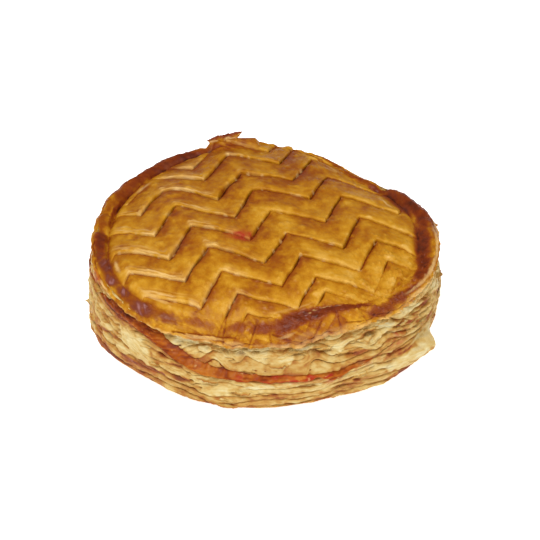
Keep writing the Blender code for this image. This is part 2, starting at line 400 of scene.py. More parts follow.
def glazedCrust():
    # browned, egg-washed skin: the bake mark picks the brown, the other marks tint it
    look = crustLook
    material, tree, shader, spot = newMaterial("glazedCrust")
    mottle = placeGroup(tree, bakedMottle, Vector=spot, Broad=look["broad"], Fine=look["fine"])
    tone = mathNode(tree, "ADD", attributeNode(tree, "bake"), mottle)
    colour = rampNode(tree, tone, look["tones"])
    # pale inner leaves, and painted highlight streaks in their cream
    colour = mixNode(tree, attributeNode(tree, "bareAndGlint"), colour, linear(*look["bareLeafAndGlint"]))
    # burnt caramel tint on the rim's patches; its lightest parts are a painted lavender sheen
    sugarAndSheenTones = rampNode(tree, attributeNode(tree, "purple"), look["sugarAndSheenTones"])
    sugarAndSheenMix = mathNode(tree, "MULTIPLY", attributeNode(tree, "purple"), 1.1, True)
    colour = mixNode(tree, sugarAndSheenMix, colour, sugarAndSheenTones)
    colour = mixNode(tree, attributeNode(tree, "jam"), colour, linear(*look["jam"]))
    tree.links.new(colour, shader.inputs["Base Color"])
    rough = mathNode(tree, "MULTIPLY", noiseNode(tree, spot, 420), look["roughPlay"])
    rough = mathNode(tree, "ADD", rough, look["leastRough"])
    tree.links.new(rough, shader.inputs["Roughness"])
    glaze = attributeNode(tree, "gloss")
    tree.links.new(glaze, shader.inputs["Coat Weight"])
    shader.inputs["Coat Roughness"].default_value = look["coatRough"]
    shader.inputs["Specular IOR Level"].default_value = look["specular"]
    # the egg wash fills the grain
    calm = mathNode(tree, "SUBTRACT", 1.1, mathNode(tree, "MULTIPLY", glaze, 4.0), True)
    grain = placeGroup(tree, bakedGrain, Vector=spot, Grain=calm, Pits=0.5)
    bumpFrom(tree, grain, look["grainDepth"], 0.9, shader)
    return material


leafLook = {
    # cut pastry from cream to browned
    "tones": [
        (0.0, (214, 200, 150)),
        (0.3, (198, 168, 100)),
        (0.5, (180, 134, 58)),
        (0.7, (156, 92, 28)),
        (0.86, (134, 64, 18)),
        (1.0, (112, 48, 15)),
    ],
    # painted shade in the gaps and pockets between leaves
    "gap": (134, 86, 34),
    "jam": (168, 56, 32),
    "streaks": 0.4,
    "broad": 0.2,  # strength of the mottle
    "fine": 0.12,
    "rough": 0.55,
    "specular": 0.3,
    "grainDepth": 0.0004,
}


def leafPastry():
    # cut side of the pastry: the tone mark goes from cream to amber; the gap mark paints shade, a warm dark
    # colour, in the gaps and pockets between leaves
    look = leafLook
    material, tree, shader, spot = newMaterial("leafPastry")
    streaks = noiseNode(tree, stretch(tree, spot, (1, 1, 5)), 300, 4, 0.6)
    streaks = mathNode(tree, "MULTIPLY", mathNode(tree, "SUBTRACT", streaks, 0.5), look["streaks"])
    tone = mathNode(tree, "ADD", attributeNode(tree, "tone"), streaks)
    mottle = placeGroup(tree, bakedMottle, Vector=spot, Broad=look["broad"], Fine=look["fine"], Offset=0.7)
    tone = mathNode(tree, "ADD", tone, mottle)
    colour = rampNode(tree, tone, look["tones"])
    # painted shade in gaps and pockets
    colour = mixNode(tree, attributeNode(tree, "gap"), colour, linear(*look["gap"]))
    colour = mixNode(tree, attributeNode(tree, "jam"), colour, linear(*look["jam"]))
    tree.links.new(colour, shader.inputs["Base Color"])
    shader.inputs["Roughness"].default_value = look["rough"]
    shader.inputs["Specular IOR Level"].default_value = look["specular"]
    flat = stretch(tree, spot, (0.6, 0.6, 1.8))
    grain = placeGroup(tree, bakedGrain, Vector=flat, Grain=1.0, Pits=0.3)
    bumpFrom(tree, grain, look["grainDepth"], 0.9, shader)
    return material


fillingLook = {
    # boiled fruit from thin syrup to dark
    "tones": [
        (0.0, (180, 112, 38)),
        (0.4, (152, 76, 14)),
        (0.7, (120, 48, 9)),
        (1.0, (80, 30, 12)),
    ],
    "jam": (158, 42, 22),
    "crumb": (206, 168, 100),
    "broad": 0.5,  # strength of the mottle
    "fine": 0.25,
    "leastRough": 0.3,
    "roughPlay": 0.35,
    "coat": 0.03,
    "coatRough": 0.18,
    "specular": 0.06,
    "grainDepth": 0.00018,
}


def stickyFilling():
    # amber syrup and red fruit that boiled out along the seam
    look = fillingLook
    material, tree, shader, spot = newMaterial("stickyFilling")
    mottle = placeGroup(tree, bakedMottle, Vector=spot, Broad=look["broad"], Fine=look["fine"], Offset=0.3)
    tone = mathNode(tree, "ADD", attributeNode(tree, "tone"), mottle)
    amber = rampNode(tree, tone, look["tones"])
    colour = mixNode(tree, attributeNode(tree, "jam"), amber, linear(*look["jam"]))
    colour = mixNode(tree, attributeNode(tree, "crumb"), colour, linear(*look["crumb"]))
    tree.links.new(colour, shader.inputs["Base Color"])
    rough = mathNode(tree, "MULTIPLY", noiseNode(tree, spot, 600), look["roughPlay"])
    rough = mathNode(tree, "ADD", rough, look["leastRough"])
    tree.links.new(rough, shader.inputs["Roughness"])
    shader.inputs["Coat Weight"].default_value = look["coat"]
    shader.inputs["Coat Roughness"].default_value = look["coatRough"]
    shader.inputs["Specular IOR Level"].default_value = look["specular"]
    grain = placeGroup(tree, bakedGrain, Vector=spot, Grain=0.8, Pits=0.5)
    bumpFrom(tree, grain, look["grainDepth"], 0.7, shader)
    return material


crustFinish = glazedCrust()
leafFinish = leafPastry()
fillingFinish = stickyFilling()
print("materials ready")

# the knife's pattern on the lid, in mm
scoring = {
    "firstValley": (-5.9, -9.3),
    "step": (5.6, -12.6),  # from one line to the next
    "period": (26.6, 9.0),  # from one valley of a line to its next
    "peakAt": 0.47,  # share of the period from valley to peak
    "climb": 1.037,  # height of a peak, in steps
    "uneven": (-0.012, 1.037, -0.0171, -0.0103, 0.004, 0.027),  # how the spacing drifts over the lid
    "slip": (-0.003, 1.003, 0.002, -0.018),  # and how the corners slip sideways
    # where the knife missed: x, y, how far off in x and in y
    "missed": [
        (-17, 14, -0.6, 2.5), (-11, 2, -1.2, 1.6), (5, -32, -0.5, -1.8), (12, -38, -2.6, -4.3),
        (16, 16, -0.8, -2.3), (36, -33, -1.4, -2.3), (-45, 10, -0.4, -3.4),
        (-38, -4, -0.7, -1.8), (-21, -38, -0.1, -3.3), (-14, 47, -1.4, -0.7), (-8, 31, -2.2, 3.4),
        (2, 7, -1.7, 1.0), (7, -6, -1.1, 1.7), (12, -18, -0.4, 1.9), (17, -29, -1.8, 3.0),
        (17, 46, -0.7, -1.3), (23, 33, -1.1, -2.4), (28, 18, -0.5, -1.2), (33, 5, -0.7, -1.5),
        (39, -8, -1.6, -0.4), (-32, 13, 0.1, -1.4), (-14, -25, -0.4, 0.7), (-8, -35, -1.8, 1.5),
        (-5, -10, -0.7, 0.8), (21, 0, -0.5, -0.5), (-27, -30, 0, -0.7), (-33, -19, 0, 0.7),
        (31, -25, -0.7, -0.3),
    ],
    "bow": 0.055,  # falling strokes bow upwards
    "pitch": 9.6,  # distance from line to line, square to them
    "wander": 0.6,  # how far the knife strays
    "tear": 0.1,  # fine raggedness of the cuts
    "pillow": 1.0,  # height of a strip's lower edge over its upper edge
    "cutDepth": 0.68,
    "cutWidth": 0.3,
    "missReach": 60,  # square mm over which a miss fades
    "healed": [(38.5, -29, 6.5), (48, -24, 5), (24, -37, 4)],  # no cuts left here: x, y, radius
    # where a cut gapes: x, y, radius, how much wider
    "gapes": [
        (-14.5, 20, 5, 1.3), (-9, 28, 4.5, 1.6), (-3, 29, 5, 1.1), (6.6, 21.5, 4, 0.6),
        (-22, -20, 5, 0.5), (22, 17, 4, 0.6), (-30, -8, 5, 0.5), (30, -14, 5, 0.6),
    ],
}
rimLook = {
    # a value every 22.5 degrees from +X
    "crease": [0.5, 0.8, 0.4, 0.05, 0.0, 0.7, 0.8, 0.9, 0.9, 0.5, 0.12, 0.0, 0.05, 0.2, 0.3, 0.5],
    "edgeTone": [
        0.1, 0.04, -0.03, -0.06, -0.08, 0.05, 0.1, 0.12, 0.1, 0.06, 0.04, 0.08, 0.12, 0.12, 0.08, 0.1,
    ],
    "cutsOver": [0, 0, 0.3, 0.9, 0.9, 0.3, 0, 0, 0, 0, 0.1, 0.1, 0, 0, 0, 0],
    # cuts that run over the rim or part the skin below it: degrees and mm out from the ridge, from and to
    "skinCuts": [
        (252.6, -9, 254.2, 3.2), (266.5, -4, 263.6, 4.4), (271.6, 0.6, 272.4, 5), (273, 1, 286.2, 8.4),
        (286.2, 8.6, 292.6, 1.6), (299, 1.4, 298.2, 7.4), (307.4, 1.4, 308.6, 7), (241, -7.5, 240, -5),
        (236, 1.4, 246, 0.3), (246, 0.3, 258.5, 1.0), (301, 3.6, 307, 4.4), (311, 3.2, 317, 4.6),
    ],
    "lump": 0.6,
    # where the lip stands up: degrees, half length, mm
    "lifts": [
        (102.8, 9.4, 2.0), (334, 6, 0.5), (300, 6, 0.6),
    ],
    "nicks": [
        (33.5, 3.0, 2.2), (89, 2.5, 0.9), (176, 2.0, 1.2), (166, 1.5, 0.5), (152, 1.6, 0.5),
        (188, 1.6, 0.7), (143, 1.4, 0.4), (112, 2.2, 1.1), (8, 2.0, 0.6), (321, 2.5, 0.6),
        (131, 2.5, 0.4), (206, 2.0, 0.5), (62, 3, 0.6), (84, 2, 0.5),
    ],
    # browned patches: degrees, mm out from the ridge, half length, half width, bake, and the share of burnt
    # caramel with painted lavender sheen
    "browned": [
        (199, -3.2, 12, 2.4, 0.56, 0), (222, -3.0, 14, 2.2, 0.56, 0),
        (195.5, -2.6, 4.9, 2.1, 0.76, 1.0), (203.8, -2.8, 3.7, 2.0, 0.72, 1.0),
        (212, -3.4, 4.0, 1.8, 0.7, 0.95), (221.5, -2.0, 5.0, 2.0, 0.71, 1.0),
        (232.5, -2.0, 4.0, 1.5, 0.66, 0.6),
        (243, -2.6, 7, 1.6, 0.56, 0), (258.5, -2.0, 3.8, 1.6, 0.72, 0),
        (269, -1.4, 4.6, 1.7, 0.76, 0.05), (282.5, -1.6, 8.5, 2.2, 0.86, 0.05),
        (281, 0.4, 8, 1.1, 0.78, 0),
        # the short, strongly tinted patches at 287.5, 293 and 299.5 degrees are painted highlight streaks on
        # the front's dark band
        (287.5, -1.4, 1.4, 0.6, 0.8, 0.8), (293, -2.2, 2.4, 0.5, 0.7, 0.9),
        (299.5, -2.4, 2.0, 0.5, 0.8, 0.6), (294, -1.4, 8, 2.3, 0.84, 0.0),
        (305, -1.5, 9, 1.5, 0.8, 0.1),
        (314, 2.2, 5, 2.2, 0.7, 0.3), (321, 1.2, 5, 2.6, 0.76, 0.4), (328, 0.6, 4, 1.4, 0.78, 0.2),
        (335, -1.2, 4.6, 2.0, 0.84, 0), (341.5, -3.4, 5, 2.4, 0.88, 0), (349, -4.8, 6, 2.6, 0.9, 0.1),
        (357, -4.0, 6, 2.6, 0.87, 0.15), (5, -1.8, 7, 2.2, 0.88, 0.1),
        (14, -1.2, 8, 2.2, 0.92, 0.1), (17, -4.2, 7, 2.0, 0.76, 0.5), (25, -2.6, 5.5, 3.0, 0.84, 0.25),
        (34, -1.0, 7, 1.2, 0.8, 0.1), (45, -0.4, 9, 1.1, 0.76, 0), (60, 0.6, 12, 0.9, 0.66, 0),
        (72, -1.6, 9, 0.5, 0.66, 0),
        (120, -1.4, 11, 1.4, 0.86, 0), (138, -1.1, 12, 1.5, 0.8, 0), (153, -1.6, 7, 1.7, 0.7, 0),
        (162, -3.2, 9, 0.8, 0.8, 0), (170, -0.8, 8, 1.1, 0.6, 0), (182, -1.6, 7, 1.8, 0.84, 0.1),
        (190, -1.2, 5, 1.3, 0.76, 0.1), (14, 1.4, 19, 2.2, 0.82, 0.1), (135, 1.4, 26, 1.8, 0.76, 0),
        (88, 3.0, 22, 1.2, 0.5, 0),
    ],
    # pale bare folds, and four painted highlight streaks on the front's dark band: degrees, mm out from the
    # ridge, half length, half width, strength
    "bareAndGlint": [
        (222, -7.3, 7, 0.7, 0.5), (199, -6.4, 3.4, 0.5, 0.6), (205, 0.9, 4, 0.5, 0.7),
        (246, 1.7, 8, 0.6, 0.5), (340, 0.5, 8, 0.8, 0.6), (351, 0.9, 9, 0.8, 0.6),
        (330, 0.9, 6, 0.6, 0.5),
        (331, 3.6, 6, 1.2, 0.6), (283, -5.2, 9, 0.3, 0.35), (20, -8.5, 3, 0.5, 0.6),
        (147, -5.6, 4, 0.7, 0.4), (285, 5.2, 5, 1.2, 0.15), (300, 5.2, 7, 1.0, 0.15),
        (1, 2.6, 5, 0.9, 0.5),
        # painted highlight streaks on the front's dark band
        (289, -1.9, 0.9, 0.3, 0.5), (291.8, -2.7, 1.3, 0.28, 0.45), (296.4, -2.9, 1.5, 0.25, 0.4),
        (301.5, -2.6, 1.6, 0.25, 0.3),
        (278, 2.6, 4, 0.5, 0.35), (60, -3.4, 9, 0.5, 0.3), (258, 3.0, 4, 0.8, 0.35),
    ],
    # length of the skin from the ridge to its lower edge: degrees, mm
    "drop": [
        (0, 3.2), (22, 3.6), (45, 3.4), (68, 3.8), (90, 4.2), (112, 3.8), (135, 3.6), (158, 3.2),
        (176, 2.2), (190, 1.4), (210, 1.3), (222, 1.9), (230, 2.4), (237, 3.0), (245, 2.4),
        (252, 2.9), (254, 4.3), (264, 4.5), (271, 4.8), (274, 5.6), (280, 7.4), (286, 8.4), (288, 7.4),
        (298, 7.7), (299.5, 6.4), (307.5, 7.2), (309, 5.6), (316, 5.8), (324, 5.6), (328, 4.2),
        (336, 3.0), (348, 2.4),
    ],
}

stepX, stepY = scoring["step"]
periodX, periodY = scoring["period"]
planDet = periodX * stepY - periodY * stepX


def fromKnots(knots, angle):
    # straight lines through (degrees, value) knots, rounded by a mean over six degrees
    degrees = np.degrees(angle)
    at, values = zip(*knots)
    return sum(np.interp(degrees + k * 1.2, at, values, period=360) for k in (-2, -1, 0, 1, 2)) / 5


def zigzag(share):
    # 0 at each valley, 1 at each peak, straight rise, slightly bowed fall
    t = share - np.floor(share)
    peak = scoring["peakAt"]
    fall = (1 - t) / (1 - peak)
    return np.where(t < peak, t / peak, fall + scoring["bow"] * np.sin(np.pi * np.clip(fall, 0, 1)))


def stray(x, y):
    # shift of the pattern in x and y: wandering knife, torn edge, and the misses weighed by nearness
    near = 0.3
    moved = [0.0, 0.0]
    for mx, my, dx, dy in scoring["missed"]:
        weight = np.exp(-((x - mx) ** 2 + (y - my) ** 2) / scoring["missReach"])
        near = near + weight
        moved = [moved[0] + weight * dx, moved[1] + weight * dy]
    slow = [scoring["wander"] * softNoise(x / 13, y / 13, seed, 5) for seed in (0.3, 7.3)]
    torn = [scoring["tear"] * softNoise(x / 1.6, y / 1.6, seed, 6) for seed in (0.3, 7.3)]
    return [m / near + w + t for m, w, t in zip(moved, slow, torn)]


def drift(share, line):
    # corner of the pattern to (place, line height): cubic in the line number,
    # a little different from side to side
    k, m = scoring["uneven"], scoring["slip"]
    height = k[0] + k[1] * line + k[2] * line**2 + k[3] * line * np.minimum(line**2, 16)
    height = height + k[4] * share + k[5] * share * line
    return m[0] + m[1] * share + m[2] * line + m[3] * share * np.clip(line, -4, 4), height


def scoreAt(x, y):
    # plan point to (place along the line in periods, line number); the drift is undone in ten passes
    dx, dy = stray(x, y)
    px, py = x + dx - scoring["firstValley"][0], y + dy - scoring["firstValley"][1]
    evenShare = (px * stepY - py * stepX) / planDet
    beta = (periodX * py - periodY * px) / planDet
    share, line = evenShare, beta + scoring["climb"] * zigzag(evenShare)
    for _ in range(10):
        slipped, height = drift(share, line)
        share = share + evenShare - slipped
        line = line + beta + scoring["climb"] * zigzag(share) - height
    return share, line


def pointOfScore(share, line):
    # the same the other way round, with the stray taken off in six passes
    slipped, height = drift(share, line)
    beta = height - scoring["climb"] * zigzag(share)
    x0 = scoring["firstValley"][0] + slipped * periodX + beta * stepX
    y0 = scoring["firstValley"][1] + slipped * periodY + beta * stepY
    x, y = x0, y0
    for _ in range(6):
        dx, dy = stray(x, y)
        x, y = x0 - dx, y0 - dy
    return x, y


def creaseAt(angle):
    # how far the dome and the lip are parted, 0 to 1
    return np.clip(closedCurve(rimLook["crease"], angle), 0, 1)


def lipForm(share, angle):
    # dome up to the valley, then the lip climbs to the ridge;
    # where the crease is weak the dome runs on to the ridge
    ridge, lip = along("ridgeHeight", angle), along("lipHeight", angle)
    low, valley = ridge - lip, along("valley", angle)
    dome = low + (outline["crown"] - low) * (1 - np.clip(share / valley, 0, 1) ** outline["domePower"])
    parted = np.where(share < valley, dome, low + lip * smoothStep(0, 1, (share - valley) / (1 - valley)))
    rest = 1 - np.clip(share, 0, 1) ** outline["plainPower"]
    plain = ridge - 0.2 + (outline["crown"] - ridge + 0.2) * rest
    return plain + (parted - plain) * creaseAt(angle)


def scoredRelief(x, y, share, line, rho, angle):
    # each strip starts low under a cut and rises to a rolled lower edge; the cut is a narrow slit,
    # wider on rising strokes and where it gapes; all of it fades over the rim
    f = line - np.floor(line)
    pitch = scoring["pitch"]
    below, above = f * pitch, (1 - f) * pitch
    t = share - np.floor(share)
    peak = scoring["peakAt"]
    rising = smoothStep(0, 0.05, t) * (1 - smoothStep(peak - 0.05, peak, t))
    uneven = softNoise(x / 5, y / 5, 3.1, 21)
    fade = 1 - smoothStep(0.84, 0.93, rho) * (1 - closedCurve(rimLook["cutsOver"], angle))
    for hx, hy, r in scoring["healed"]:
        fade = fade * (1 - np.exp(-(((x - hx) ** 2 + (y - hy) ** 2) / r**2) ** 1.5))
    gape = sum(g * np.exp(-((x - gx) ** 2 + (y - gy) ** 2) / r**2) for gx, gy, r, g in scoring["gapes"])
    width = scoring["cutWidth"] * (0.8 + 0.7 * rising + gape) * (1 + 0.45 * uneven)
    patchy = 1 + 0.5 * softNoise(x / 7, y / 7, 1.7, 22)
    depth = scoring["cutDepth"] * (0.7 + 0.5 * rising + 0.5 * gape) * patchy
    cut = np.exp(-((np.where(f < 0.5, below, above * 1.5) / width) ** 2)) * fade
    fromCut = 1 - np.exp(-((below / (1.3 + 0.5 * rising)) ** 1.3))
    body = fromCut * (1 - np.exp(-above / (0.45 + 0.4 * rising)))
    pillow = scoring["pillow"] * body * (0.25 + 0.75 * f**1.2) * (1 + 0.55 * softNoise(x / 8, y / 8, 9.1, 23))
    leftSide = smoothStep(2, -26, x) * (1 - rising) * fade
    second = np.exp(-(((above - 1.1 - 0.35 * uneven) / 0.22) ** 2)) * leftSide
    third = np.exp(-(((above - 2.4 - 0.6 * uneven) / 0.24) ** 2)) * leftSide * smoothStep(-16, -34, x)
    torn = softNoise(x / 3.5, above / 0.42 + y / 9, 2.5, 26)
    fibre = softNoise(share * 7, line * 13, 0.5, 24) + 0.6 * softNoise(share * 15, line * 27, 1.5, 25)
    height = (pillow - 0.35 * scoring["pillow"]) * (0.3 + 0.7 * fade) - depth * cut
    height = height - 0.24 * second - 0.18 * third + 0.06 * fibre * fade
    lip = np.exp(-above / 0.8) * (1 - np.exp(-above / 0.12)) * (1 - 0.6 * rising) * fade
    shade = np.exp(-below / (1.1 + 0.9 * rising)) * fade * (0.55 + 0.45 * rising + 0.4 * gape)
    chip = smoothStep(0.3, 0.65, softNoise(x / 1.3, y / 1.3, 4.5, 27))
    chip = chip * np.exp(-((np.minimum(below, above) / 0.6) ** 2)) * fade
    height = height + 0.2 * chip
    leaves = leftSide * smoothStep(4.2, 1.2, above) * smoothStep(-0.1, 0.5, torn) * (1 - np.exp(-above / 0.3))
    form = {"cut": cut, "lip": lip, "shade": shade, "leaves": leaves, "chip": chip, "f": f, "fibre": fibre}
    return height, {**form, "second": second + third}


def rawSurface(x, y):
    # slow swells, small puckers and blisters of the baked skin
    swell = 0.45 * cloud(x / 12, y / 12, 2.2, 31, 2) + 0.16 * softNoise(x / 4.6, y / 4.6, 1.2, 33)
    pucker = 0.17 * cloud(x / 2.4, y / 2.4, 4.4, 32, 3)
    rough = smoothStep(20, 40, x) * smoothStep(6, -14, y) + 0.35 * smoothStep(-12, -34, y)
    large = blisters(x, y, 3.4, 41, 0.22)
    small = blisters(x, y, 1.3, 42, 0.3 + 0.3 * rough)
    fine = blisters(x, y, 0.8, 43, 0.25 + 0.4 * rough)
    calm = 1 - 0.7 * smoothStep(48, 56, np.hypot(x, y)) * smoothStep(-20, 10, y)
    beads = (0.3 + 0.75 * rough) * small + (0.25 + 0.3 * rough) * fine
    height = swell + pucker * (1 + 0.8 * rough) + 0.3 * large * calm + beads * calm
    return height, small + 0.5 * large


def cutSkin(angle, out):
    # 1 on a listed cut, falling off as a bell of the distance to it; a degree is close to a mm here
    near = np.zeros(np.broadcast(angle, out).shape)
    for fromDeg, fromOut, toDeg, toOut in rimLook["skinCuts"]:
        dx, dy = toDeg - fromDeg, toOut - fromOut
        px, py = degreesApart(angle, fromDeg), out - fromOut
        t = np.clip((px * dx + py * dy) / (dx * dx + dy * dy), 0, 1)
        away = np.hypot(px - t * dx, py - t * dy) + 0.12 * softNoise(px, out, dx, 70)
        near = np.maximum(near, np.exp(-((away / 0.28) ** 2)))
    return near


def slantStreak(angle, out):
    # puckers that run slantwise over the rim: noise of (way round less 1.3 times way out)
    slant = np.degrees(angle) * mmPerDegree["rim"] - 1.3 * out
    return softNoise(slant / 1.6, out / 4, 0.5, 72) + 0.5 * softNoise(slant / 0.7, out / 2.5, 1.5, 73)


def patchMask(degreesOff, out, halfLong, halfWide):
    # flat-topped oval: exp of minus the fourth power of the oval's distance
    around = degreesOff * mmPerDegree["rim"] / halfLong
    return np.exp(-((around**2 + (out / halfWide) ** 2) ** 2))


baking = {
    # bake mark of the plain lid, and what the back, front, right and left change of it
    "lid": 0.39,
    "back": 0.05,
    "front": -0.08,
    "right": -0.07,
    "left": -0.01,
    # red stains on the lid: x, y, half length, half width, strength
    "stains": [(-10.4, -7.8, 3.0, 2.0, 1.2), (-6.8, -8.0, 2.2, 2.2, 1.3)],
    "deepestStain": 0.92,
    # and one on the rim: degrees, mm out from the ridge, half length, half width, strength
    "rimStain": (200, 1.0, 3.6, 0.9, 0.6),
}


def crustMarks(x, y, angle, out, form, caps):
    # bake: 0 pale gold to 1 nearly burnt, with painted shade in and under the cuts, in the creases
    # and on each strip's upper part, and a painted highlight on each strip's lower edge; the pale mark:
    # inner leaves and a few painted highlight streaks; gloss: egg wash; purple: burnt caramel whose
    # lightest parts are a painted lavender sheen; jam: red stain. Each is clouds of noise plus what the
    # cuts, the crease and the listed patches add, kept between 0 and 1
    slow = cloud(x / 7, y / 7, 5.5, 53, 3)
    broad = cloud(x / 20, y / 20, 8.5, 54, 2)
    middle = cloud(x / 3.2, y / 3.2, 7.5, 55, 2)
    speck = softNoise(x / 1.3, y / 1.3, 3.3, 57)
    sides = baking["back"] * smoothStep(0, 45, y) + baking["front"] * smoothStep(-8, -38, y)
    sides = sides + baking["right"] * smoothStep(10, 42, x) + baking["left"] * smoothStep(-10, -40, x)
    bake = baking["lid"] + sides + 0.22 * slow + 0.12 * broad + 0.12 * middle
    bake = bake + 0.025 * form["fibre"] + 0.07 * speck - 0.14 * np.clip(caps, 0, 1)
    # painted shade: darker just under each cut, on the upper part of each strip, in the slits and in the
    # creases over the lips; painted highlight: paler on each strip's lower edge and lip
    bake = bake + 0.24 * form["shade"] + 0.1 * (1 - form["f"]) ** 2
    bake = bake - 0.06 * smoothStep(0.5, 1, form["f"]) - 0.14 * form["lip"]
    bake = bake + 0.22 * form["cut"] + 0.12 * form["second"]
    side = 1.0 * softNoise(x / 4.5, y / 4.5, out / 4, 58) + 0.5 * softNoise(x / 1.5, y / 1.5, out / 1.5, 59)
    cross = 0.7 * softNoise(x / 4, y / 4, out / 4, 60) + 0.4 * softNoise(x / 1.4, y / 1.4, out / 1.4, 61)
    streak = slantStreak(angle, out)
    nearRim = smoothStep(-8, -4, out)
    bake = bake + nearRim * 0.12 * streak * (1 - form["cut"])
    bake = bake + smoothStep(-3.6, -1.6, out) * closedCurve(rimLook["edgeTone"], angle) * (1 - form["cut"])
    purple = np.zeros_like(bake)
    for degrees, centre, halfLong, halfWide, tone, tint in rimLook["browned"]:
        aside = degreesApart(angle, degrees) + 1.4 * side
        mask = patchMask(aside, out - centre + 0.8 * cross, halfLong, halfWide)
        bake = bake + mask * np.maximum(tone + 0.08 * slow + 0.05 * speck + 0.08 * streak - bake, 0)
        purple = np.maximum(purple, tint * mask)
    # painted shade: darker in the crease between dome and lip and in the cuts of the skin
    creaseOut = (along("valley", angle) - 0.992) * along("ridgeRadius", angle) + 0.4 * side
    creased = hill(out, creaseOut, 0.36) * creaseAt(angle)
    bake = bake + 0.3 * creased + 0.22 * cutSkin(angle, out)
    bareAndGlint = 0.8 * form["lip"] * smoothStep(4, -24, x) * smoothStep(-0.35, 0.4, softNoise(x / 4, y / 4, 6, 56))
    bareAndGlint = bareAndGlint + 0.6 * form["leaves"] + 0.5 * form["chip"] * (out < -5)
    for degrees, centre, halfLong, halfWide, strength in rimLook["bareAndGlint"]:
        aside = degreesApart(angle, degrees) + 1.2 * side
        mask = patchMask(aside, out - centre + 0.5 * cross, halfLong, halfWide)
        bareAndGlint = np.maximum(bareAndGlint, strength * mask)
    jam = 0
    for stainX, stainY, halfLong, halfWide, strength in baking["stains"]:
        jam = jam + strength * np.exp(-(((x - stainX) / halfLong) ** 2 + ((y - stainY) / halfWide) ** 2))
    jam = np.minimum(jam, baking["deepestStain"]) * (0.8 + 0.4 * speck) * (out < -4)
    degrees, centre, halfLong, halfWide, strength = baking["rimStain"]
    jam = jam + strength * patchMask(degreesApart(angle, degrees), out - centre, halfLong, halfWide)
    # the lavender sheen is painted, brightest along the slanted streaks
    purple = purple * np.clip(0.66 + 0.25 * softNoise(x / 1.8, y / 1.8, out / 2, 63) + 0.5 * streak, 0, 1)
    gloss = 0.02 + 0.09 * smoothStep(-0.2, 0.6, slow) + 0.2 * purple
    gloss = gloss + 0.04 * smoothStep(0.62, 0.85, bake) - 0.2 * form["cut"] + 0.2 * np.clip(caps, 0, 1)
    marks = {"bake": bake, "bareAndGlint": bareAndGlint, "purple": purple, "jam": jam, "gloss": gloss}
    return {key: np.clip(value, 0, 1) for key, value in marks.items()}


def rimHeight(x, y, angle, out):
    # lumps and nicks of the lip: soft noise along the ridge, and a narrow dip at each nick
    lumps = cloud(x / 8, y / 8, out / 8, 65, 2) + 0.35 * softNoise(x / 2.6, y / 2.6, out / 2.6, 66)
    dips = sum(size * hill(degreesApart(angle, d), 0, w) for d, w, size in rimLook["nicks"])
    raised = 0
    for degrees, w, size in rimLook["lifts"]:
        raised = raised + size * smoothStep(w + 1.2, w - 1.2, np.abs(degreesApart(angle, degrees)))
    lump = raised + rimLook["lump"] * lumps * (0.35 + 0.65 * creaseAt(angle))
    puckers = 0.16 * slantStreak(angle, out) * smoothStep(-8, -4, out)
    return (lump - dips) * smoothStep(-5.0, -0.8, out) + puckers


def heightFrom(x, y, angle, rho, share, line):
    # lid height = dome and lip + relief of the cuts + skin - crease + lumps of the rim - cut skin;
    # out is the distance past the ridge, negative inside it
    relief, form = scoredRelief(x, y, share, line, rho, angle)
    skin, caps = rawSurface(x, y)
    out = (rho - 1) * along("ridgeRadius", angle)
    wide = 0.011 + 0.004 * softNoise(x / 3, y / 3, 0, 67)
    creased = 0.9 * hill(rho, along("valley", angle) + 0.008, wide) * closedCurve(rimLook["crease"], angle)
    z = lipForm(rho, angle) + relief + skin - creased + rimHeight(x, y, angle, out)
    return z - 0.5 * cutSkin(angle, out), crustMarks(x, y, angle, out, form, caps)


lidTop = {
    "reach": 0.958,  # the sheet ends at this share of the ridge radius, under the rim's inner edge
    "diveFrom": 0.925,  # it dives from this share on
    "under": 1.1,  # as far as this
    "columnStep": 0.42,
    "farthest": 2.9,  # periods to either side
    "crowding": 0.72,  # how much the rows crowd towards the cuts
    "rowsInStrip": 30,
    "firstLine": -6,
    "lastLine": 6,
    "thick": 1.6,
}


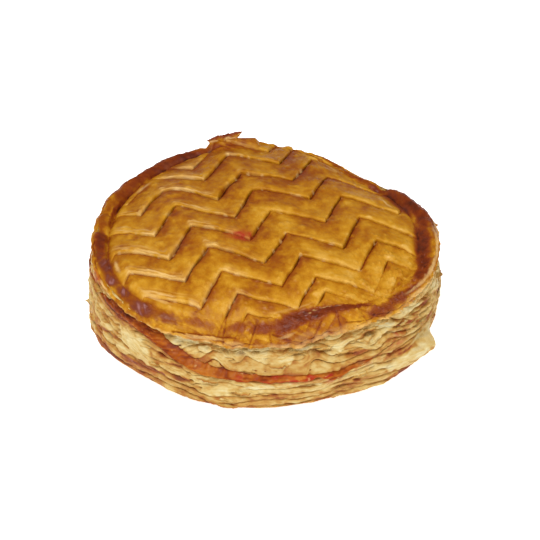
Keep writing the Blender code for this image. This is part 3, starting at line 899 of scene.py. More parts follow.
def buildLidTop():
    # grid of (place along the lines, line number), so that mesh rows follow every cut:
    # rows crowd towards whole line numbers; each column is cut off at the lid's outline
    rows = np.arange(lidTop["rowsInStrip"]) / lidTop["rowsInStrip"]
    crowd = rows - lidTop["crowding"] * np.sin(turn * rows) / turn
    lines = np.concatenate([k + crowd for k in range(lidTop["firstLine"], lidTop["lastLine"])])
    step = lidTop["columnStep"] / math.hypot(periodX, periodY)
    shares = np.arange(-lidTop["farthest"], lidTop["farthest"], step)
    share, line = np.meshgrid(shares, lines)
    x, y = pointOfScore(share, line)
    angle = np.arctan2(y, x)
    inside = np.hypot(x, y) / along("ridgeRadius", angle) < lidTop["reach"]
    used = inside.sum(0) > 2
    share, line, inside = share[:, used], line[:, used], inside[:, used]
    count = len(lines)
    first = inside.argmax(0)
    last = count - 1 - inside[::-1].argmax(0)

    def edgeLine(outRow, inRow):
        # halving search between an outside and an inside row for the outline
        low, high = lines[outRow], lines[inRow]
        for _ in range(18):
            middle = (low + high) / 2
            mx, my = pointOfScore(shares[used], middle)
            isIn = np.hypot(mx, my) / along("ridgeRadius", np.arctan2(my, mx)) < lidTop["reach"]
            low, high = np.where(isIn, low, middle), np.where(isIn, middle, high)
        return high

    near = edgeLine(np.maximum(first - 1, 0), first)
    far = edgeLine(np.minimum(last + 1, count - 1), last)
    row = np.arange(count)[:, None]
    line = np.where(row < first, near, np.where(row > last, far, line))
    x, y = pointOfScore(share, line)
    angle = np.arctan2(y, x)
    rho = np.hypot(x, y) / along("ridgeRadius", angle)
    z, marks = heightFrom(x, y, angle, rho, share, line)
    z = z - lidTop["under"] * smoothStep(lidTop["diveFrom"], lidTop["reach"], rho)
    columns = x.shape[1]
    keep = np.clip(row, np.maximum(first - 1, 0), np.minimum(last + 1, count - 1))
    index = keep * columns + np.arange(columns)[None]
    quads = np.stack([index[:-1, :-1], index[1:, :-1], index[1:, 1:], index[:-1, 1:]], -1).reshape(-1, 4)
    quads = [list(dict.fromkeys(q)) for q in quads.tolist()]
    quads = [q for q in quads if len(q) > 2]
    points = np.stack([x.ravel(), y.ravel(), z.ravel()], 1)
    taken = np.unique(np.concatenate([np.array(q) for q in quads]))
    renumber = np.zeros(len(points), int)
    renumber[taken] = np.arange(len(taken))
    quads = [[int(renumber[v]) for v in q] for q in quads]
    marks = {key: values.ravel()[taken] for key, values in marks.items()}
    piece = meshPiece("lidTop", points[taken], quads, marks, crustFinish)
    # close it: the edge goes down and a fan covers the underside
    mesh = bmesh.new()
    mesh.from_mesh(piece.data)
    bmesh.ops.remove_doubles(mesh, verts=mesh.verts, dist=1e-7)
    rim = [e for e in mesh.edges if e.is_boundary]
    lower = bmesh.ops.extrude_edge_only(mesh, edges=rim)["geom"]
    fresh = [v for v in lower if isinstance(v, bmesh.types.BMVert)]
    bmesh.ops.translate(mesh, verts=fresh, vec=(0, 0, -lidTop["thick"] * toMetres))
    border = [e for e in lower if isinstance(e, bmesh.types.BMEdge) and e.is_boundary]
    bottom = bmesh.ops.edgeloop_fill(mesh, edges=border)
    bmesh.ops.poke(mesh, faces=bottom["faces"])
    bmesh.ops.recalc_face_normals(mesh, faces=mesh.faces)
    for face in mesh.faces:
        face.smooth = True
    mesh.to_mesh(piece.data)
    mesh.free()
    return piece


# raised lip and the browned skin rolled over the edge
rimSkin = {
    "columns": 1000,
    "lipRows": 40,
    "skinRows": 44,
    "underRows": 14,
    "start": 0.9,  # share of the ridge radius where it comes up out of the lid
    "clearAt": 0.925,  # and where it is fully up
    "under": 1.1,  # how deep it starts
    "belly": [1.2, 1.2, 1.2, 1.2, 1.2, 1.2, 1.3, 1.3, 1.3, 1.2, 0.8, 0.5, 0.2, 0.2, 0.4, 0.9],
    "edgeThick": 0.6,
    "ragged": 0.75,
    "hiddenBare": 0.6,  # bare mark of the inside
}


def skinCurve(angle, out):
    # radius and height at a length out from the ridge: a bent line to the skin's corner, then on down
    ridge, ridgeZ = along("ridgeRadius", angle), along("ridgeHeight", angle)
    skin, skinZ = along("skinRadius", angle), along("skinHeight", angle)
    length = np.hypot(skin - ridge, ridgeZ - skinZ) * 1.1
    t = out / length
    belly = closedCurve(rimSkin["belly"], angle)
    midR, midZ = 0.5 * (ridge + skin) + belly + 0.4, 0.5 * (ridgeZ + skinZ) + belly
    bend = np.clip(t, 0, 1)
    radius = (1 - bend) ** 2 * ridge + 2 * bend * (1 - bend) * midR + bend**2 * skin
    height = (1 - bend) ** 2 * ridgeZ + 2 * bend * (1 - bend) * midZ + bend**2 * skinZ
    return radius, height - np.maximum(t - 1, 0) * length


def skinEdge(angle):
    # where the skin ends: the drop with a ragged edge
    x, y = noiseSpot(angle)
    ragged = cloud(x / 4, y / 4, 0.2, 68, 2) + 0.5 * softNoise(x / 1.1, y / 1.1, 4, 62)
    return fromKnots(rimLook["drop"], angle) + rimSkin["ragged"] * ragged


def buildRim():
    # section at each angle: lip from the valley to the ridge on the lid's height, on down the
    # skin's curve to its ragged edge, round it and back inside; carried round the outline.
    # Past the ridge the pattern runs on by the length of the curve
    angle = np.arange(rimSkin["columns"]) / rimSkin["columns"] * turn
    ridge = along("ridgeRadius", angle)
    rho = np.linspace(rimSkin["start"], 1, rimSkin["lipRows"])[:, None] + 0 * angle
    x, y = rho * ridge * np.cos(angle), rho * ridge * np.sin(angle)
    z, marks = heightFrom(x, y, angle + 0 * rho, rho, *scoreAt(x, y))
    z = z - rimSkin["under"] * (1 - smoothStep(rimSkin["start"], rimSkin["clearAt"], rho))

    edge = skinEdge(angle)
    out = np.linspace(0, 1, rimSkin["skinRows"] + 1)[1:, None] * edge
    radius, height = skinCurve(angle, out)
    vx, vy = (ridge + out) * np.cos(angle), (ridge + out) * np.sin(angle)
    relief, form = scoredRelief(vx, vy, *scoreAt(vx, vy), 1 + 0 * out, angle + 0 * out)
    skin, caps = rawSurface(vx, vy)
    push = relief + skin + rimHeight(vx, vy, angle, out) * (1 - 0.6 * smoothStep(0, 4, out))
    layerAt = 1.2 + 0.5 * softNoise(vx / 3, vy / 3, 6, 75)
    layer = hill(edge - out, layerAt, 0.2) * smoothStep(-0.3, 0.3, softNoise(vx / 7, vy / 7, 2, 76))
    push = push + 0.25 * cloud(vx / 3, vy / 3, out / 3, 64, 2)
    push = push + 0.16 * cloud(vx / 1.1, vy / 1.1, out / 1.1, 77, 2)
    push = push - 0.42 * cutSkin(angle, out) - 0.3 * layer
    lean = 0.5 * np.pi * np.clip(out / 5, 0, 1)
    radius = radius + push * np.sin(lean)
    height = height + push * np.cos(lean)
    skinMarks = crustMarks(vx, vy, angle + 0 * out, out, form, caps)
    # painted shade: darker in the groove above the skin's edge
    skinMarks["bake"] = np.clip(skinMarks["bake"] + 0.24 * layer, 0, 1)
    frayed = 0.45 + 0.7 * softNoise(vx / 2.2, vy / 2.2, out / 2, 69)
    worn = 0.7 * np.clip(smoothStep(0.62, 1, out / edge) * frayed, 0, 1)
    worn = worn * (1 - 0.7 * smoothStep(0.7, 0.9, skinMarks["bake"]))
    skinMarks["bareAndGlint"] = np.maximum(skinMarks["bareAndGlint"], worn)

    # round the edge and back inside, well clear of the lid's own surface
    thick = rimSkin["edgeThick"]
    lastR, lastZ = radius[-1], height[-1]
    inside = rimSkin["start"] * ridge
    backR = [lastR - step for step in (0.15, 0.55 * thick, thick, 1.5, 3.0)]
    backR = np.stack([*backR, 0.5 * (inside + lastR - 3), inside])
    cover = lipForm(np.minimum(backR / ridge, 1), angle + 0 * backR) - 2.6
    backZ = [lastZ - step for step in (0.3 * thick, 0.45 * thick, 0.1 * thick, -0.2, 0)]
    backZ = np.stack([*backZ, cover[5], cover[6]])
    backZ = np.where(np.arange(7)[:, None] > 2, np.minimum(backZ, cover), backZ)
    # spread evenly over the hidden rows
    hidden = rimSkin["underRows"]
    where = np.linspace(0, len(backR) - 1, hidden)
    low = np.minimum(where.astype(int), len(backR) - 2)
    part = (where - low)[:, None]
    backR = backR[low] * (1 - part) + backR[low + 1] * part
    backZ = backZ[low] * (1 - part) + backZ[low + 1] * part

    for key, values in skinMarks.items():
        marks[key] = np.concatenate([marks[key], values, np.repeat(values[-1:], hidden, 0)])
    marks["bareAndGlint"][-hidden:] = rimSkin["hiddenBare"]
    radius = np.concatenate([rho * ridge, radius, backR])
    points = place(radius, angle[None], np.concatenate([z, height, backZ]))
    faces = ringFaces(len(points), rimSkin["columns"], True)[:, ::-1]
    return meshPiece("rimSkin", points, faces, marks, crustFinish)


# upper and lower edge of the filling where it shows: degrees, height
seamTop = [
    (0, 16.4), (22, 16.6), (45, 16.2), (68, 15.8), (90, 15.2), (112, 15.2), (135, 15.5), (158, 16.4),
    (180, 18.6), (198, 19.2), (207, 21.0), (212, 23.8), (219, 23.8),
    (226, 22.2), (233, 19.0), (240, 15.6), (250, 13.5), (258, 13.3), (272, 13.1), (285, 13.0),
    (298, 12.8), (306, 12.8), (315, 14.4), (325, 15.8), (337, 16.3), (350, 16.3),
]
seamLow = [
    (0, 15.7), (22, 14.8), (45, 13.2), (68, 12.5), (90, 11.8), (112, 11.8), (135, 12.4), (158, 14.0),
    (180, 17.2), (198, 17.4), (206, 17.2), (213, 17.7), (219, 17.4),
    (226, 16.4), (233, 14.4), (240, 12.1), (250, 10.1), (258, 10.3), (265, 10.3), (272, 10.4),
    (285, 10.6), (292, 9.8), (298, 10.4), (306, 12.0), (315, 13.8), (325, 15.2), (337, 15.9),
    (350, 15.8),
]
# sides of stacked leaves; lists of 16 have a value every 22.5 degrees from +X
lidSide = {
    "columns": 1100,
    "rows": 84,
    "leafPitch": 2.5,  # thick leaves
    "thinPitch": 0.8,  # and the thin ones they are made of
    "edgePlay": 0.62,  # how far the leaf ends stick out
    "gapDepth": 1.2,
    "sweep": 2.2,  # how far the leaves swing up and down
    "seed": 100,
    # how high the leaves run
    "rise": [1, 0, -1, 0, 1, 0, -1, 0, 0, 0, 0, 0, -0.6, 1.6, 2.4, 0.4],
    # strength of the whole relief
    "calm": [1, 1, 1, 1, 1, 1, 1, 1, 0.9, 0.8, 0.8, 0.75, 0.8, 1, 1.15, 1.1],
    # paler by side; on the right (first and last values) this is partly painted light on a wall in shade
    "pale": [0.1, 0, 0, 0, 0, 0, 0, 0, 0.16, 0.16, 0.13, 0.16, 0.08, 0.06, 0.08, 0.14],
    # how faint the thin leaves are
    "plain": [0.4, 0, 0, 0, 0, 0, 0, 0, 0.1, 0.3, 0.5, 0.6, 0.4, 0.3, 0.5, 0.8],
    # how far the wall draws in at half height
    "hollow": [0.3, 0.3, 0.4, 0.4, 0.4, 0.3, 0.3, 0.2, 0.1, 0.3, 1.0, 1.4, 1.0, 0.7, 0.3, 0.2],
    # how far the wall's foot runs out to the seam
    "flare": [1, 1, 1, 1, 1, 1, 1, 1, 1, 0.5, 0, 0.45, 1, 1, 1, 1],
    # open pockets between leaves: degrees, height, half length, half height, depth
    "pockets": [
        (260.8, 16.2, 2.0, 0.85, 2.0), (254.2, 16.9, 1.7, 0.75, 1.7), (250.5, 18.6, 1.2, 0.4, 1.1),
        (266.5, 17.4, 1.6, 0.4, 1.2), (245.5, 15.3, 1.4, 0.4, 0.9),
        (241.5, 18.4, 1.3, 0.3, 0.9), (237.5, 16.6, 1.2, 0.3, 0.8), (248.0, 17.0, 0.9, 0.45, 1.0),
        (257.0, 18.3, 1.0, 0.4, 1.0), (257.5, 14.6, 1.2, 0.3, 0.9), (263.5, 14.6, 1.4, 0.35, 1.0),
        (270.5, 15.6, 1.4, 0.4, 1.1),
        (309.2, 19.0, 1.8, 0.9, 2.2), (290.5, 17.0, 5.6, 0.95, 1.8), (299.0, 15.2, 3.4, 0.4, 1.5),
        (281.5, 16.4, 3.0, 0.35, 1.2), (303.0, 17.6, 2.6, 0.35, 1.3),
        (322.0, 19.2, 3.0, 0.35, 1.5), (329.0, 20.2, 3.6, 0.4, 1.5), (337.0, 21.5, 3.0, 0.4, 1.4),
        (315.5, 17.6, 2.0, 0.4, 1.4), (238.0, 17.8, 1.6, 0.35, 1.0),
        (20.0, 21.0, 5.0, 0.5, 1.9), (58.0, 19.5, 5.5, 0.6, 2.0), (88.0, 20.5, 6.0, 0.5, 1.8),
        (118.0, 18.0, 5.0, 0.6, 2.1),
        (146.0, 20.5, 5.5, 0.5, 1.7), (168.0, 21.8, 4.5, 0.4, 1.5), (192.0, 22.4, 3.5, 0.35, 1.2),
    ],
    # broad smooth leaves: degrees, height, half length, half height, how far out, slope
    "broad": [
        (276.0, 15.2, 5.5, 1.5, 0.2, 0.18), (283.0, 18.0, 5.0, 0.9, 0.4, 0.22),
        (240.5, 19.4, 5.0, 1.6, 0.3, -0.2), (247.0, 17.0, 3.2, 1.1, 0.35, -0.1),
        (268.0, 18.6, 5.0, 1.2, 0.3, 0.05), (297.5, 18.2, 5.5, 0.9, 0.5, 0.2),
        (306.0, 16.5, 4.5, 0.8, 0.5, -0.35),
        (316.0, 20.6, 5.0, 1.1, 0.4, -0.3), (326.0, 18.6, 4.0, 0.9, 0.5, -0.45),
        (342.0, 20.0, 6.0, 1.2, 0.4, -0.3), (30.0, 22.4, 8.0, 1.1, 0.4, 0.1),
        (75.0, 18.0, 9.0, 1.0, 0.4, -0.1),
        (105.0, 21.5, 9.0, 1.1, 0.4, 0.1), (132.0, 18.2, 8.0, 1.1, 0.5, 0.1),
        (157.0, 19.5, 7.0, 1.0, 0.4, -0.1),
    ],
    # warm stains: degrees, height, half length, half height, strength
    "warm": [
        (216, 24.0, 12, 1.3, 0.35), (320, 18.6, 5, 1.0, 0.3), (330, 19.4, 6, 1.0, 0.28),
        (344, 19.0, 8, 2.0, 0.15), (279, 17.0, 4, 1.2, 0.1), (190, 21.5, 10, 2.0, 0.35),
        (303, 15.0, 5, 0.7, 0.3), (333, 22.0, 2.0, 3.0, 0.2), (327, 18.0, 5, 0.5, 0.35),
        (20, 22.0, 14, 2.0, 0.25), (75, 20.5, 16, 2.0, 0.25), (130, 21.0, 16, 2.0, 0.3),
        (258, 19.0, 12, 0.7, 0.2),
    ],
    # red stains, in the same order
    "jam": [
        (194, 21.0, 4.5, 2.2, 0.85), (199, 23.2, 3, 1.1, 0.7), (319.5, 16.4, 2.4, 0.8, 0.85),
        (193, 16.6, 3.0, 2.4, 0.4), (60, 17.4, 6, 0.7, 0.4),
    ],
}
baseSide = {
    "columns": 1100,
    "rows": 80,
    "leafPitch": 2.7,
    "thinPitch": 0.85,
    "edgePlay": 0.6,
    "gapDepth": 1.1,
    "sweep": 2.0,
    "seed": 200,
    # how far the lowest leaves spread at the foot
    "splay": [0.4, 0.4, 0.6, 0.6, 0.5, 0.4, 0.3, 0.2, 0.2, 1.2, 2.6, 3.0, 1.4, 1.2, 2.8, 0.1],
    "rise": [0, 1, 0, -1, 0, 1, 0, -1, 0, 1.2, 0, -0.8, 0, 0.3, 0.6, -1.0],
    "calm": [1, 1, 1, 1, 1, 1, 1, 1, 1, 1.1, 0.9, 0.9, 0.7, 0.7, 0.9, 1.1],
    "pale": [0, 0, 0, 0, 0, 0, 0, 0, 0.1, 0.0, -0.02, 0.02, 0.04, 0.04, 0.08, 0.06],
    "plain": [0, 0, 0, 0, 0, 0, 0, 0, 0, 0.2, 0.4, 0.5, 0.6, 0.5, 0.4, 0.4],
    "pockets": [
        (205.8, 12.6, 2.0, 0.5, 1.9), (209.0, 7.9, 1.7, 0.9, 2.2), (203.3, 6.9, 1.6, 0.4, 1.7),
        (212.6, 12.8, 0.9, 1.4, 1.5), (232.2, 12.6, 1.8, 0.6, 1.4), (226.0, 14.8, 3.2, 0.3, 1.1),
        (245.0, 7.4, 0.8, 0.45, 1.5), (248.2, 5.6, 0.7, 0.4, 1.4), (243.6, 9.6, 0.8, 0.3, 1.0),
        (252.5, 8.4, 1.0, 0.3, 0.9), (261.0, 5.4, 2.6, 0.3, 1.1), (270.0, 5.6, 3.2, 0.3, 1.0),
        (301.0, 6.6, 1.3, 0.5, 1.5), (307.0, 8.6, 1.0, 0.35, 1.2), (294.0, 4.8, 2.2, 0.3, 1.0),
        (285.0, 7.8, 2.4, 0.25, 0.9), (318.5, 10.6, 4.0, 0.35, 1.5), (190.0, 8.5, 3.0, 0.5, 1.7),
        (8.0, 8.0, 5.0, 0.5, 1.8), (38.0, 6.5, 5.0, 0.5, 1.9), (70.0, 8.0, 6.0, 0.5, 1.8),
        (101.0, 5.5, 5.0, 0.6, 2.0),
        (133.0, 8.2, 6.0, 0.5, 1.8), (160.0, 6.5, 5.0, 0.5, 1.9),
    ],
    "broad": [
        (222.0, 11.0, 8.4, 4.2, 1.0, -0.35), (216.0, 6.6, 4.0, 1.6, 0.5, 0.1),
        (206.5, 10.0, 4.0, 1.3, 0.5, 0.25), (320.0, 6.4, 8.5, 2.6, 0.8, 0.1),
        (331.5, 8.6, 7.0, 2.4, 0.2, -0.1),
        (268.0, 8.6, 6.0, 0.9, 0.3, 0.05), (20.0, 6.0, 9.0, 1.4, 0.5, 0.1),
        (55.0, 9.4, 8.0, 1.2, 0.5, -0.1), (90.0, 8.6, 9.0, 1.2, 0.5, 0.1),
        (120.0, 6.4, 8.0, 1.3, 0.5, 0.0), (150.0, 9.2, 8.0, 1.1, 0.5, -0.1),
        (176.0, 7.0, 7.0, 1.4, 0.5, 0.1),
    ],
    "warm": [
        (240, 7.4, 4.6, 0.7, 0.75), (231, 6.2, 6, 0.5, 0.65), (221, 4.8, 6, 0.5, 0.5),
        (208, 8.6, 3.0, 1.0, 0.5), (201, 6.4, 4, 1.2, 0.4), (190, 12.0, 3.0, 3.0, 0.2),
        (326, 11.5, 3, 0.6, 0.4), (323, 9.2, 6, 0.5, 0.4), (212, 2.2, 9, 1.0, 0.3),
        (258, 0.9, 5, 0.8, 0.34), (248.5, 2.2, 1.6, 0.9, 0.3),
        (335, 13.4, 3.4, 1.2, 0.35), (343, 9.0, 4, 2.5, 0.25), (320, 10.6, 5, 0.7, 0.5),
        (301, 6.4, 2, 0.8, 0.3), (290, 9.4, 8, 0.8, 0.1), (318, 1.4, 8, 0.8, 0.25),
        (292, 0.8, 6, 0.7, 0.3),
        (30, 4.0, 16, 2.0, 0.3), (85, 5.0, 18, 1.6, 0.35), (140, 4.5, 16, 1.8, 0.35),
        (180, 5.0, 10, 2.0, 0.3),
    ],
    "jam": [
        (281, 10.0, 7, 0.7, 0.5), (293, 8.8, 3.2, 1.2, 0.8), (301, 10.4, 4, 0.9, 0.45),
        (307, 11.4, 3, 0.8, 0.4), (318, 13.4, 3, 0.6, 0.5), (318, 10.0, 6, 0.5, 0.35),
        (231, 4.9, 4, 0.5, 0.3),
        (100, 11.2, 9, 0.7, 0.5), (22, 13.2, 7, 0.7, 0.45),
    ],
    # ledges: degrees, height, half length, half height, how far out
    "ledges": [
        (240, 6.9, 5, 0.7, 0.8), (226, 5.4, 8, 0.6, 0.7), (85, 5.2, 18, 0.8, 0.7),
        (140, 4.6, 16, 0.8, 0.7), (292, 1.0, 14, 0.9, 0.5),
    ],
    # the leaf that sticks out at the corner: degrees, reach, half length before and after it,
    # heights where it begins and is full, and where it thins and ends
    "cornerLeaf": (330, 5.4, 9.0, 4.0, (-1.5, 5.8), (7.6, 10.0)),
}


def spotField(angle, height, spots):
    # soft patches on the side, summed: bells of the distance along and up
    total = np.zeros_like(height + angle)
    for degrees, z, w, h, strength in spots:
        side = mmAside(angle, degrees) / w
        total = total + strength * np.exp(-(side**2) - ((height - z) / h) ** 2)
    return total


def leafRelief(angle, height, look):
    # level = height bent by slow noise and round each pocket. Thick leaves every leafPitch of it,
    # rounded, gaping where the noise says; thin leaves inside them, seen only in places; broad
    # leaves over all. Gives how far out, the tone, and painted shade that darkens the gaps, pockets and
    # hollows
    x, y = noiseSpot(angle)
    seed = look["seed"]
    level = height - closedCurve(look["rise"], angle)
    level = level + look["sweep"] * softNoise(x / 15, y / 15, height / 9, seed + 1)
    level = level + 0.5 * look["sweep"] * softNoise(x / 6, y / 6, height / 5, seed + 2)
    for degrees, z, w, h, _ in look["pockets"]:
        near = -((degreesApart(angle, degrees) * 0.8 / w) ** 2) - ((height - z) / (3.2 * h)) ** 2
        level = level - np.tanh((height - z) / h) * np.exp(near)

    # thick leaves: f runs from 0 to 1 through each
    number = level / look["leafPitch"]
    leaf = np.floor(number)
    f = number - leaf
    own = leaf * 11.7
    edge = 0.6 * softNoise(x / 5, y / 5, own, seed + 3) + 0.34 * softNoise(x / 1.7, y / 1.7, own, seed + 4)
    edge = edge + 0.12 * softNoise(x / 0.65, y / 0.65, own, seed + 5)
    parted = smoothStep(-0.15, 0.6, softNoise(x / 6.5, y / 6.5, own + 3.3, seed + 6))
    joint = np.minimum(f, 1 - f)
    gap = (1 - smoothStep(0.0, 0.16 + 0.12 * parted, joint)) * (0.3 + 0.7 * parted)

    # thin leaves: g runs from 0 to 1 through each
    thin = level / look["thinPitch"] + 0.5 * softNoise(x / 3, y / 3, height / 2, seed + 12)
    thinLeaf = np.floor(thin)
    g = thin - thinLeaf
    ownThin = thinLeaf * 7.3
    seen = smoothStep(-0.35, 0.5, softNoise(x / 4.5, y / 4.5, height / 2.4, seed + 7))
    thinEdge = softNoise(x / 2.4, y / 2.4, ownThin, seed + 17)
    thinEdge = thinEdge + 0.5 * softNoise(x / 0.8, y / 0.8, ownThin, seed + 18)
    plain = np.clip(closedCurve(look["plain"], angle), 0, 1)
    thinGap = (1 - smoothStep(0.04, 0.32, np.minimum(g, 1 - g))) * seen * (1 - plain)

    puff = cloud(x / 2.6, y / 2.6, height / 1.7, seed + 19, 3)
    out = look["edgePlay"] * edge + 0.5 * (4 * f * (1 - f)) ** 0.5 - look["gapDepth"] * gap
    out = out + 0.15 * thinEdge - 0.24 * thinGap + (0.22 + 0.16 * plain) * puff - 0.2
    amber = smoothStep(-0.1, 0.7, cloud(x / 5, y / 5, height / 1.8, seed + 20, 3))
    ownTone = lattice(leaf.astype(np.int64), 0, 3, seed) - 0.5
    tone = 0.41 - 0.1 * edge + 0.14 * ownTone - 0.06 * thinEdge - 0.14 * puff
    tone = tone + 0.2 * gap + 0.14 * thinGap + 0.3 * amber
    # painted shade in the parted gaps, the thin gaps and the hollows between puffs
    paintedShade = (0.56 - 0.38 * plain) * gap * parted + 0.3 * thinGap * (0.3 + 0.7 * parted)
    paintedShade = paintedShade + 0.2 * smoothStep(0.3, 0.7, -puff)

    # broad leaves cover what is under them
    for degrees, z, w, h, size, slope in look["broad"]:
        aside = mmAside(angle, degrees)
        across = height - z - slope * aside + 0.4 * softNoise(x / 3, y / 3, degrees, seed + 13)
        far = np.sqrt((aside / w) ** 2 + (across / h) ** 2)
        far = far + 0.2 * softNoise(x / 1.8, y / 1.8, height / 1.8, seed + 14)
        mask = 1 - smoothStep(0.8, 1.0, far)
        lined = softNoise(aside / 4, across / 0.42 + 0.3 * aside, degrees, seed + 15)
        leafTone = 0.22 + 0.24 * lined + 0.1 * softNoise(x / 4, y / 4, height / 3, seed + 16)
        out = out * (1 - 0.75 * mask) + mask * (size * (1 - 0.5 * far**2) + 0.2 * lined)
        tone = tone * (1 - 0.8 * mask) + 0.8 * mask * leafTone
        # painted shade in the broad leaf's grooves and round its edge
        paintedShade = paintedShade * (1 - 0.75 * mask) + mask * 0.25 * smoothStep(0.35, 0.8, -lined)
        paintedShade = paintedShade + 0.2 * hill(far, 1.04, 0.07)

    # open pockets
    hole = np.zeros_like(height)
    for degrees, z, w, h, depth in look["pockets"]:
        side = mmAside(angle, degrees) / w
        up = (height - z - 0.3 * softNoise(x / 1.6, y / 1.6, degrees, seed + 8)) / h
        hole = np.maximum(hole, depth * np.exp(-((side**2 + up**2) ** 1.4)))
    out = out - hole + 0.1 * cloud(x / 0.9, y / 0.9, height / 0.4, seed + 9, 2)
    tone = tone + 0.12 * softNoise(x / 8, y / 8, height / 2.5, seed + 10)
    tone = tone + 0.08 * softNoise(x / 1.4, y / 1.4, height / 0.8, seed + 11)
    tone = tone - closedCurve(look["pale"], angle) + spotField(angle, height, look["warm"])
    # painted shade in the pockets
    paintedShade = np.clip(paintedShade + 0.5 * smoothStep(0.4, 2.0, hole), 0, 1)
    return out * closedCurve(look["calm"], angle), tone, paintedShade


def lidWall(angle, up):
    # flares out to the seam at the bottom, hollow in the middle, in under the skin at the top
    edgeR, edgeZ = skinCurve(angle, fromKnots(rimLook["drop"], angle))
    low = fromKnots(seamTop, angle) - 0.3
    foot, seam = along("footRadius", angle), along("seamRadius", angle)
    flare = np.maximum(seam - 0.5 - foot, 0) * closedCurve(lidSide["flare"], angle)
    height = low + (edgeZ + 0.7 - low) * up
    radius = foot + (edgeR - 1.2 - foot) * smoothStep(0, 1, up) ** 1.2 + flare * (1 - up) ** 3
    return radius - closedCurve(lidSide["hollow"], angle) * np.sin(np.pi * np.clip(up, 0, 1)), height


def baseFoot(angle):
    # radius of the lowest leaves, spread out
    return along("baseRadius", angle) + closedCurve(baseSide["splay"], angle)


def baseWall(angle, up):
    # from the foot up to the filling, slightly bulged
    foot, seam = baseFoot(angle), along("seamRadius", angle)
    height = 0.25 + (fromKnots(seamLow, angle) + 0.2 - 0.25) * up
    radius = foot + (seam - 0.35 - foot) * up + 0.3 * np.sin(np.pi * up)
    return radius - 0.5 * (1 - smoothStep(0, 0.06, up)), height


def jamStain(angle, height, look, seed):
    # red where the listed spots and a noise agree
    broken = smoothStep(-0.5, 0.3, softNoise(angle * 40, height / 1.2, 3, seed))
    return np.clip(spotField(angle, height, look["jam"]) * broken, 0, 1)


def buildLidSide():
    # the wall's curve with the leaf relief pushed out; the section closes through hidden rows inside
    look = lidSide
    angle = (np.arange(look["columns"]) / look["columns"] * turn)[None]
    up = np.linspace(0, 1, look["rows"])[:, None]
    radius, height = lidWall(angle, up)
    out, tone, paintedShade = leafRelief(angle + 0 * up, height, look)
    tuckIn = smoothStep(0.84, 0.97, up)
    radius = radius + out * (1 - tuckIn) - 0.7 * tuckIn
    tone = tone + 0.2 * smoothStep(0.85, 1, up) + 0.16 * (1 - smoothStep(0, 0.1, up))
    jam = jamStain(angle, height, look, 140)
    # painted shade just under the skin's overhang
    paintedShade = np.clip(paintedShade + 0.2 * smoothStep(0.86, 1.0, up), 0, 1)
    innerUp = np.array([[0.75], [0.5], [0.25], [0.03]])
    inner = np.minimum(along("footRadius", angle), along("ridgeRadius", angle)) - 7
    tuck = np.minimum(height[-1:] - 2.2, lipForm(0.93, angle) - 3)
    radius = np.concatenate([radius, radius[-1:] - 1.0, inner + 0 * innerUp])
    height = np.concatenate([height, tuck, height[:1] + (tuck - 0.4 - height[:1]) * innerUp])
    hidden = len(innerUp) + 1
    marks = {
        "tone": padRows(tone, angle, hidden, 0.4),
        "gap": padRows(paintedShade, angle, hidden, 0),
        "jam": padRows(jam, angle, hidden, 0),
    }
    faces = ringFaces(len(radius), look["columns"], True)
    return meshPiece("lidSide", place(radius, angle, height), faces, marks, leafFinish)


def buildBase():
    # from the pole of the flat underside out to the foot, up the leaves to the seam, in to the top pole
    look = baseSide
    n = look["columns"]
    angle = (np.arange(n) / n * turn)[None]
    up = np.linspace(0, 1, look["rows"])[:, None]
    radius, height = baseWall(angle, up)
    foot, seam = baseFoot(angle), along("seamRadius", angle)
    out, tone, paintedShade = leafRelief(angle + 0 * up, height, look)
    radius = radius + out * (0.25 + 0.75 * smoothStep(0, 0.05, up))

    degrees, reach, before, after, begins, ends = look["cornerLeaf"]
    aside = degreesApart(angle, degrees)
    flared = np.exp(-((np.abs(aside) / np.where(aside > 0, after, before)) ** 1.7))
    flared = flared * smoothStep(*begins, height) * (1 - smoothStep(*ends, height)) ** 1.5
    radius = radius + reach * flared * (1 + 0.1 * softNoise(angle * 50, height / 2, 1, 242))
    radius = radius + spotField(angle, height, look["ledges"])
    tone = tone + 0.1 * (1 - smoothStep(0.02, 0.2, up)) + 0.12 * smoothStep(0.9, 1.0, up)
    jam = jamStain(angle, height, look, 240)

    underShare = np.array([0.3, 0.6, 0.85, 0.96])[:, None]
    underR = (foot - 1.4) * underShare
    dimples = cloud(underR * np.cos(angle) / 5, underR * np.sin(angle) / 5, 0, 241, 2)
    underZ = 0.12 * (dimples + 0.6) * (underShare < 0.95)
    topShare = np.array([0.96, 0.6, 0.3])[:, None]
    topH = outline["core"] + (height[-1:] - outline["core"]) * topShare**2 - 1.2
    radius = np.concatenate([underR, foot - 0.8, radius, seam * topShare])
    height = np.concatenate([underZ, 0 * angle, height, topH])

    def withHidden(values, low):
        # the underside's rows come first, the top's rows after, then the two poles
        top = 0.4 * (low > 0)
        below = np.full((len(underShare) + 1, n), low)
        rows = np.concatenate([below, padRows(values, angle, len(topShare), top)])
        return np.append(rows, [low, top])

    rows = len(radius)
    points = place(radius, angle, height).reshape(-1, 3)
    poles = np.array([[0, 0, 0.1], [0, 0, outline["core"] - 1.2]])
    c = np.arange(n)
    following = (c + 1) % n
    last = (rows - 1) * n
    faces = ringFaces(rows, n).tolist()
    faces += np.stack([following, c, np.full(n, len(points))], 1).tolist()
    faces += np.stack([last + c, last + following, np.full(n, len(points) + 1)], 1).tolist()
    marks = {
        "tone": withHidden(tone, 0.62),
        "gap": withHidden(np.clip(paintedShade, 0, 1), 0),
        "jam": withHidden(jam, 0),
    }
    return meshPiece("basePastry", np.concatenate([points, poles]), faces, marks, leafFinish)


